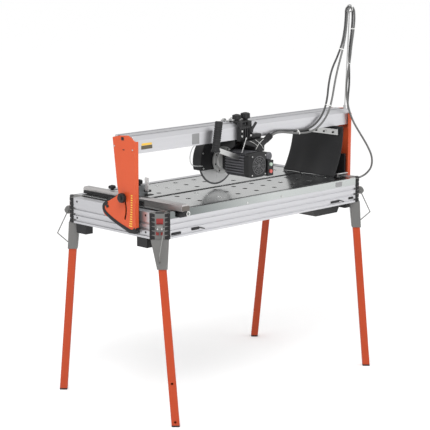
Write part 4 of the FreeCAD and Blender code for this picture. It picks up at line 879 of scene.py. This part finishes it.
# %% Knobs
def star_knob(name, node, centre, radius, high, body, axis="Z", lobes=5, depth=0.14):
    """A lobed knob whose head is centred on a point, with a hub and a cap, in place of a packed knob."""
    way = np.array(AXES[axis][2])
    centre = np.array(centre, float)
    shells = [disc(centre - way * high / 2, radius, high, axis, 0.003, lobes, depth, 80),
              disc(centre + way * (high / 2 - 0.001), radius * 0.5, 0.003, axis, 0.001),
              disc(centre - way * (high / 2 + 0.006), radius * 0.55, 0.008, axis, 0.001)]
    made = piece(name, shells, black_plastic, body)
    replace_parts(made, node)
    return made


STARS = [
    ("carriage_star_left", "carriage_knob_left", (-0.060, -0.148, 1.0745), 0.0155, 0.018, "saddle_knob_left"),
    ("carriage_star_right", "carriage_knob_right", (-0.012, -0.148, 1.0760), 0.0168, 0.021,
     "saddle_knob_right"),
    ("stop_star", "stop_knob", (-0.481, -0.052, 0.8625), 0.0142, 0.014, "stop_screw"),
    ("fence_star", "fence_knob", (-0.481, 0.095, 0.8245), 0.0130, 0.011, "fence_screw"),
]
for name, node, centre, radius, high, body in STARS:
    star_knob(name, node, centre, radius, high, body)
for hand, x in (("left", -0.6155), ("right", 0.6155)):
    star_knob("tilt_wheel_" + hand, hand + "_tilt_knob", (x, -0.10726, 0.82605), 0.0172, 0.016,
              "tilt_knob_" + hand, "X", 14, 0.05)
print(len(STARS), "star knobs and two tilt wheels")

# %% [markdown]
# ## Carriage
#
# The carriage hangs on the front of the beam: a cast plate with ribs, two posts up to the knobs, and a
# short arm to the right.  One solid block would hide the gap between the posts, so the casting is built
# from a few rounded blocks that share one name and one body.

# %% Saddle casting, ribs and bolts
saddle = [block((-0.0715, -0.172, 0.981), (-0.0005, -0.159, 1.040), 0.003),
          block((-0.0715, -0.168, 1.0522), (-0.0005, -0.118, 1.0585), 0.002),
          block((-0.0715, -0.172, 1.030), (-0.050, -0.159, 1.0585), 0.003),
          block((-0.022, -0.172, 1.030), (-0.0005, -0.159, 1.0585), 0.003),
          block((-0.003, -0.172, 0.986), (0.054, -0.159, 1.005), 0.003)]
saddle += [disc((x, -0.148, 1.056), 0.0095, 0.0065, "Z", 0.0015) for x in (-0.060, -0.012)]
casting = piece("saddle_casting", saddle, black_paint, "carriage")
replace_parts(casting, "carriage_frame")
RIB_STEP = 0.0125
ribs = [block((-0.069 + RIB_STEP * count, -0.177, 0.992), (-0.064 + RIB_STEP * count, -0.171, 1.034), 0.001)
        for count in range(6)]
ribs.append(block((-0.070, -0.1755, 1.029), (-0.002, -0.171, 1.038), 0.0015))
piece("carriage_ribs", ribs, black_paint, "carriage")
piece("carriage_bolts", [disc((x, -0.1785, z), 0.0042, 0.004, "Y", 0.0008, 6, 0.06) for x in (-0.060, -0.012)
                         for z in (1.022, 1.002)], zinc, "carriage")
print("saddle of", len(saddle), "shells with", len(ribs), "ribs")

# %% Depth rod, lock lever and wires
# The rod stands on the motor and swings with it, so it keeps clear of the carriage in front of its ribs.
rod_line = np.linspace((-0.046, -0.1864, 0.998), (-0.071, -0.1864, 0.941), 8)
piece("depth_rod", [shell(carried_circle(rod_line, 0.0016, 12)),
                    disc((-0.0480, -0.1864, 0.991), 0.0034, 0.006)], zinc, "head")
lever_line = np.linspace((-0.010, -0.177, 1.020), (0.016, -0.178, 1.050), 10)
piece("lock_lever", [shell(carried_circle(lever_line, 0.0052, 16)),
                     disc((-0.010, -0.181, 1.020), 0.0085, 0.009, "Y", 0.0015)], black_plastic, "carriage")
WIRES = np.array([
    [(0.006, -0.1855, 0.984), (0.024, -0.187, 0.972), (0.040, -0.1865, 0.958), (0.052, -0.1855, 0.944)],
    [(0.050, -0.1855, 0.982), (0.034, -0.187, 0.974), (0.018, -0.187, 0.962), (0.008, -0.1855, 0.946)],
    [(-0.026, -0.1855, 0.982), (-0.014, -0.1865, 0.977), (0.000, -0.1865, 0.970), (0.020, -0.1855, 0.958)],
])
piece("carriage_wires", [shell(carried_circle(line, 0.0009, 8)) for line in WIRES], white_tie, "carriage")
print("rod", round(line_length(rod_line), 3), "m, lever", round(line_length(lever_line), 3), "m")

# %% [markdown]
# ## Capacitor cap and spray pipe
#
# The capacitor beside the motor ends in a cap with a raised rim.  A thin clear pipe loops out from the
# guard and back to it.  It is soft, so its line is a smooth spline, as for the cords, but both of its ends
# move with the guard, so it needs no blend and rides on the head.

# %% Capacitor cap, spray pipe and guard screws
cap = [disc((0.033, -0.2335, 0.923), 0.0162, 0.008, "Y", 0.0025), hoop((0.033, -0.2335, 0.923), 0.0105, 0.0012),
       disc((0.033, -0.236, 0.923), 0.0045, 0.004, "Y", 0.001)]
piece("capacitor_cap", cap, motor_skin, "head")
SPRAY_ROUTE = [
    (-0.130, -0.0440, 0.974), (-0.171, -0.0440, 0.9715), (-0.192, -0.0440, 0.962), (-0.204, -0.0440, 0.943),
    (-0.2085, -0.0440, 0.922), (-0.206, -0.0440, 0.901), (-0.193, -0.0440, 0.889), (-0.170, -0.0440, 0.884),
    (-0.140, -0.0440, 0.882),
]
spray_line = smooth_line("spray_line", SPRAY_ROUTE)
piece("spray_pipe", [shell(carried_circle(spray_line, 0.0021, 12))], clear_plastic, "head")
piece("guard_screws", [disc((x, -0.0445, z), 0.0032, 0.003, "Y", 0.0008) for x, z in
                       ((-0.134, 0.871), (-0.136, 0.930), (0.040, 0.980))], zinc, "head")
print("spray pipe", round(line_length(spray_line), 3), "m")

# %% [markdown]
# ## Bracket and beam details
#
# The orange brackets hold the beam at both ends, and small black plugs close the holes that both share.
# The left one carries the bevel scale.  A scale is usually printed, and a picture could be laid on the
# bracket, but a few raised ticks on a slight curve stay sharp from near and need no picture.

# %% Bracket plugs, screws and scale
piece("bracket_plugs", [block((-0.6055, -0.109, 1.034), (-0.603, -0.095, 1.046), 0.0012),
                        block((-0.6052, -0.112, 0.999), (-0.603, -0.102, 1.002), 0.0006),
                        block((0.603, -0.109, 1.034), (0.6055, -0.095, 1.046), 0.0012)],
      black_plastic, "bridge")
piece("bracket_screws", [disc((x, y, z), 0.003, 0.0028, "X", 0.0008) for x in (-0.6058, 0.603)
                         for y, z in ((-0.058, 1.010), (-0.155, 1.004))], zinc, "bridge")
ticks = []
for step in np.linspace(0, 1, 14):
    y, z = -0.1485 + 0.0065 * step ** 2, 0.838 - 0.112 * step
    half = 0.0042 + 0.0042 * step ** 3
    ticks.append(block((-0.6048, y - half, z - 0.0021), (-0.6038, y + half, z + 0.0021), 0.0003))
piece("bevel_scale", ticks, scale_yellow, "bridge")
print("bevel scale of", len(ticks), "ticks")

# %% [markdown]
# ### Rubber edge
#
# A rubber profile is pushed over the rim of each bracket's lower sector.  It is a tube along the rim,
# pressed almost flat against the sheet, and the right one is the left one's rings mirrored, with their
# points in the other order so that the faces still look outwards.

# %% Rubber edge of the bracket's sector
EDGE_X, EDGE_RADIUS, EDGE_FLATNESS = -0.6045, 0.0068, 0.28
EDGE_ROUTE = [
    (EDGE_X, -0.017, 0.7995), (EDGE_X, 0.003, 0.7870), (EDGE_X, 0.006, 0.7730), (EDGE_X, -0.004, 0.7580),
    (EDGE_X, -0.042, 0.7385), (EDGE_X, -0.089, 0.7215), (EDGE_X, -0.136, 0.7075), (EDGE_X, -0.157, 0.7065),
    (EDGE_X, -0.166, 0.7185),
]
edge_line = smooth_line("edge_line", EDGE_ROUTE)
edge_rings = carried_circle(edge_line, EDGE_RADIUS, 16)
edge_rings[..., 0] = EDGE_X + EDGE_FLATNESS * (edge_rings[..., 0] - EDGE_X)
piece("bracket_edge_left", [shell(edge_rings)], rubber, "bridge")
edge_right = edge_rings * (-1, 1, 1)
piece("bracket_edge_right", [shell(edge_right[:, ::-1])], rubber, "bridge")
print("rubber edge", round(line_length(edge_line), 3), "m")

# %% [markdown]
# ### Label and plates of the beam
#
# A plain label with a yellow band and a grey plate lie on the beam, and three screws hold the curtain's
# clamp strip.  The plates are blocks a millimetre thick that stand a little proud, because a plate that
# lies in the beam's own face would flicker.

# %% Beam label, plate and strip screws
FLAT_PLATES = [
    ("beam_label", (-0.565, -0.1588, 1.002), (-0.511, -0.1578, 1.0155), label_black),
    ("beam_label_band", (-0.563, -0.1588, 1.016), (-0.513, -0.1578, 1.024), scale_yellow),
    ("beam_plate", (-0.309, -0.1588, 0.994), (-0.272, -0.1578, 1.034), grey_plate),
]
for name, low, high, look in FLAT_PLATES:
    piece(name, [block(low, high, 0.0004)], look, "bridge")
piece("strip_screws", [disc((0.5035, y, 0.962), 0.004, 0.003, "X", 0.001) for y in (-0.150, -0.103, -0.060)],
      black_plastic, "bridge")
print(len(FLAT_PLATES), "plates on the beam")

# %% [markdown]
# ## Corners of the frame
#
# Each corner casting carries red inserts, two bright screws on its latch lug, and the black finger caps of
# the rails on both sides.  All four corners are alike, so the pieces are worked out once in a corner's own
# directions, out along the diagonal, aside along the cut and up, and then placed in every corner.

# %% Directions of a corner
CORNER_PLACE = Vector((0.5485, 0.2365, 0))
CORNERS = [(side_x, side_y) for side_x in (-1, 1) for side_y in (-1, 1)]


def corner_axes(side_x, side_y):
    """The corner's place, outwards along the diagonal, and sideways along the cut."""
    out = Vector((side_x, side_y, 0)).normalized()
    return Vector((side_x * CORNER_PLACE.x, side_y * CORNER_PLACE.y, 0)), out, Vector((-out.y, out.x, 0))


def corner_block(side_x, side_y, out, aside, low, high, corner=0.001):
    """A rounded block in a corner's own directions, between two distances out, two aside and two heights."""
    place, way, side = corner_axes(side_x, side_y)
    section = block_section(out[1] - out[0], aside[1] - aside[0], corner)
    start = place + way * (out[0] + out[1]) / 2 + side * (aside[0] + aside[1]) / 2 + Vector((0, 0, low))
    stations = soft_ends(high - low, corner, (out[1] - out[0]) / 2)
    return shell(stacked(section, stations, start, (way, side, (0, 0, 1))))


print(len(CORNERS), "corners")

# %% Red inserts and screws
INSERT_OUT = (0.010, 0.0172)
SCREW_OUT, SCREW_ASIDE, SCREW_HEIGHT = 0.0350, 0.0078, 0.7275
inserts, corner_screws = [], []
for side_x, side_y in CORNERS:
    inserts.append(corner_block(side_x, side_y, INSERT_OUT, (-0.0125, 0.0125), 0.741, 0.762))
    inserts.append(corner_block(side_x, side_y, INSERT_OUT, (-0.0135, -0.0035), 0.701, 0.715))
    inserts.append(corner_block(side_x, side_y, INSERT_OUT, (0.0035, 0.0135), 0.701, 0.715))
    place, way, side = corner_axes(side_x, side_y)
    for aside in (-SCREW_ASIDE, SCREW_ASIDE):
        start = place + way * SCREW_OUT + side * aside + Vector((0, 0, SCREW_HEIGHT))
        corner_screws.append(disc(start, 0.0030, 0.0032, (side, (0, 0, 1), way), 0.001))
piece("corner_inserts", inserts, red_insert, "frame")
print(len(inserts), "inserts,", len(corner_screws), "screws")

# %% Finger caps
# A finger's outline is a slim quadrilateral beside the casting, given as (out, aside), with a point halfway
# along each side so that its ends can shrink softly.
FINGER = np.array([(0.0165, 0.0185), (0.0010, 0.0368), (-0.0016, 0.0352), (0.0135, 0.0172)])
FINGER_LOW, FINGER_PITCH = 0.6855, 0.0162
halfway = FINGER[:-1] + (FINGER[1:] - FINGER[:-1]) * 0.5
outline = np.concatenate([np.stack([FINGER[:-1], halfway], axis=1).reshape(-1, 2), FINGER[-1:]])
finger_stations = [(0, 0.86), (0.0015, 1), (0.0115, 1), (0.013, 0.86)]
fingers = []
for side_x, side_y in CORNERS:
    place, way, side = corner_axes(side_x, side_y)
    for hand in (-1, 1):
        section = outline * (1, hand)
        middle = section.mean(0)
        for row in range(6):
            height = Vector((0, 0, FINGER_LOW + FINGER_PITCH * row))
            start = place + way * middle[0] + side * middle[1] + height
            fingers.append(shell(stacked(section - middle, finger_stations, start, (way, side, (0, 0, 1)))))
    fingers.append(corner_block(side_x, side_y, (0.003, 0.0165), (-0.0165, 0.0165), 0.7805, 0.7845, 0.0018))
piece("corner_fingers", fingers, black_plastic, "frame")
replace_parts(piece("corner_screws", corner_screws, zinc, "frame"), "frame_screws")
print(len(fingers), "finger shells")

# %% [markdown]
# ## Small pieces of the frame
#
# The last pieces are the ones that tell a machine from a model of it: screw heads, clips, the clamp and the
# end cap of the fence, rubber seals along the table, and small plates.  Each is a rounded block, pin or ring,
# placed on the face that it is fixed to.

# %% Screws of the end rails
rail_screws = [disc((side_x * 0.5745 - 0.0012, y, z), 0.0042, 0.0024, "X", 0.0008)
               for side_x in (-1, 1) for y in (-0.190, 0.190) for z in (0.768, 0.706)]
piece("end_rail_screws", rail_screws, black_plastic, "frame")
print(len(rail_screws), "screws in the end rails")

# %% Clips of the front rail
clips = [block((-0.517, -0.2655, 0.696), (-0.469, -0.259, 0.706), 0.0015),
         block((-0.416, -0.2655, 0.700), (-0.376, -0.259, 0.711), 0.0015),
         block((0.368, -0.2655, 0.697), (0.420, -0.259, 0.707), 0.0015),
         block((0.479, -0.2655, 0.700), (0.508, -0.259, 0.710), 0.0015)]
clips += [shell(carried_circle(np.linspace((-0.380, -0.266, 0.708), (-0.352, -0.267, 0.700), 6), 0.0022, 10)),
          shell(carried_circle(np.linspace((0.416, -0.266, 0.706), (0.444, -0.267, 0.697), 6), 0.0022, 10))]
piece("rail_clips", clips, black_plastic, "frame")
print(len(clips), "clip shells")

# %% Fence clamp, stop plate and seals
clamp = [block((-0.488, -0.276, 0.758), (-0.446, -0.2630, 0.780), 0.003),
         block((-0.484, -0.290, 0.776), (-0.462, -0.262, 0.7850), 0.002)]
piece("fence_clamp", clamp, black_plastic, "frame")
piece("fence_clamp_ring", [hoop((-0.446, -0.2775, 0.7685), 0.0075, 0.0017)], white_tie, "frame")
piece("fence_end_cap", [block((-0.4990, -0.3020, 0.7860), (-0.4630, -0.2995, 0.8040), 0.0012)],
      fence_brown, "frame")
seals = [block((-0.400, -0.0262, 0.7848), (0.4540, -0.0212, 0.7858), 0.0005, "X"),
         block((-0.400, -0.0128, 0.7848), (0.4540, -0.0078, 0.7858), 0.0005, "X"),
         block((-0.527, -0.2500, 0.7848), (0.5040, -0.2455, 0.7858), 0.0005, "X"),
         block((-0.527, 0.2090, 0.7848), (0.5040, 0.2145, 0.7860), 0.0005, "X")]
piece("table_seals", seals, rubber, "frame")
# A thin black strip along the foot of the fence bar's left face.
piece("black_strip_at_fence_foot", [block((-0.5035, -0.100, 0.786), (-0.4995, 0.235, 0.7985), 0.001)],
      black_plastic, "frame")
piece("clear_stop_plate", [block((-0.4725, -0.096, 0.829), (-0.4695, -0.075, 0.881), 0.0008)],
      clear_plastic, "stop")
piece("stop_tongue", [block((-0.468, -0.090, 0.812), (-0.440, -0.070, 0.816), 0.001),
                      block((-0.470, -0.090, 0.826), (-0.452, -0.068, 0.834), 0.001)], black_plastic, "stop")
print("fence pieces and", len(seals), "seals")

# %% Plates and rivets of the band
piece("bracket_foot_plate", [block((0.517, -0.170, 0.7855), (0.585, -0.160, 0.7905), 0.001)], zinc, "frame")
piece("band_patch", [block((0.397, -0.2642, 0.7605), (0.435, -0.2625, 0.7795), 0.0004)], grey_plate, "frame")
band_rivets = [disc((x, -0.2655, 0.764), 0.004, 0.004, "Y", 0.001) for x in (-0.119, 0.073)]
piece("band_rivets", band_rivets, zinc, "frame")
print(len(band_rivets), "rivets in the band")
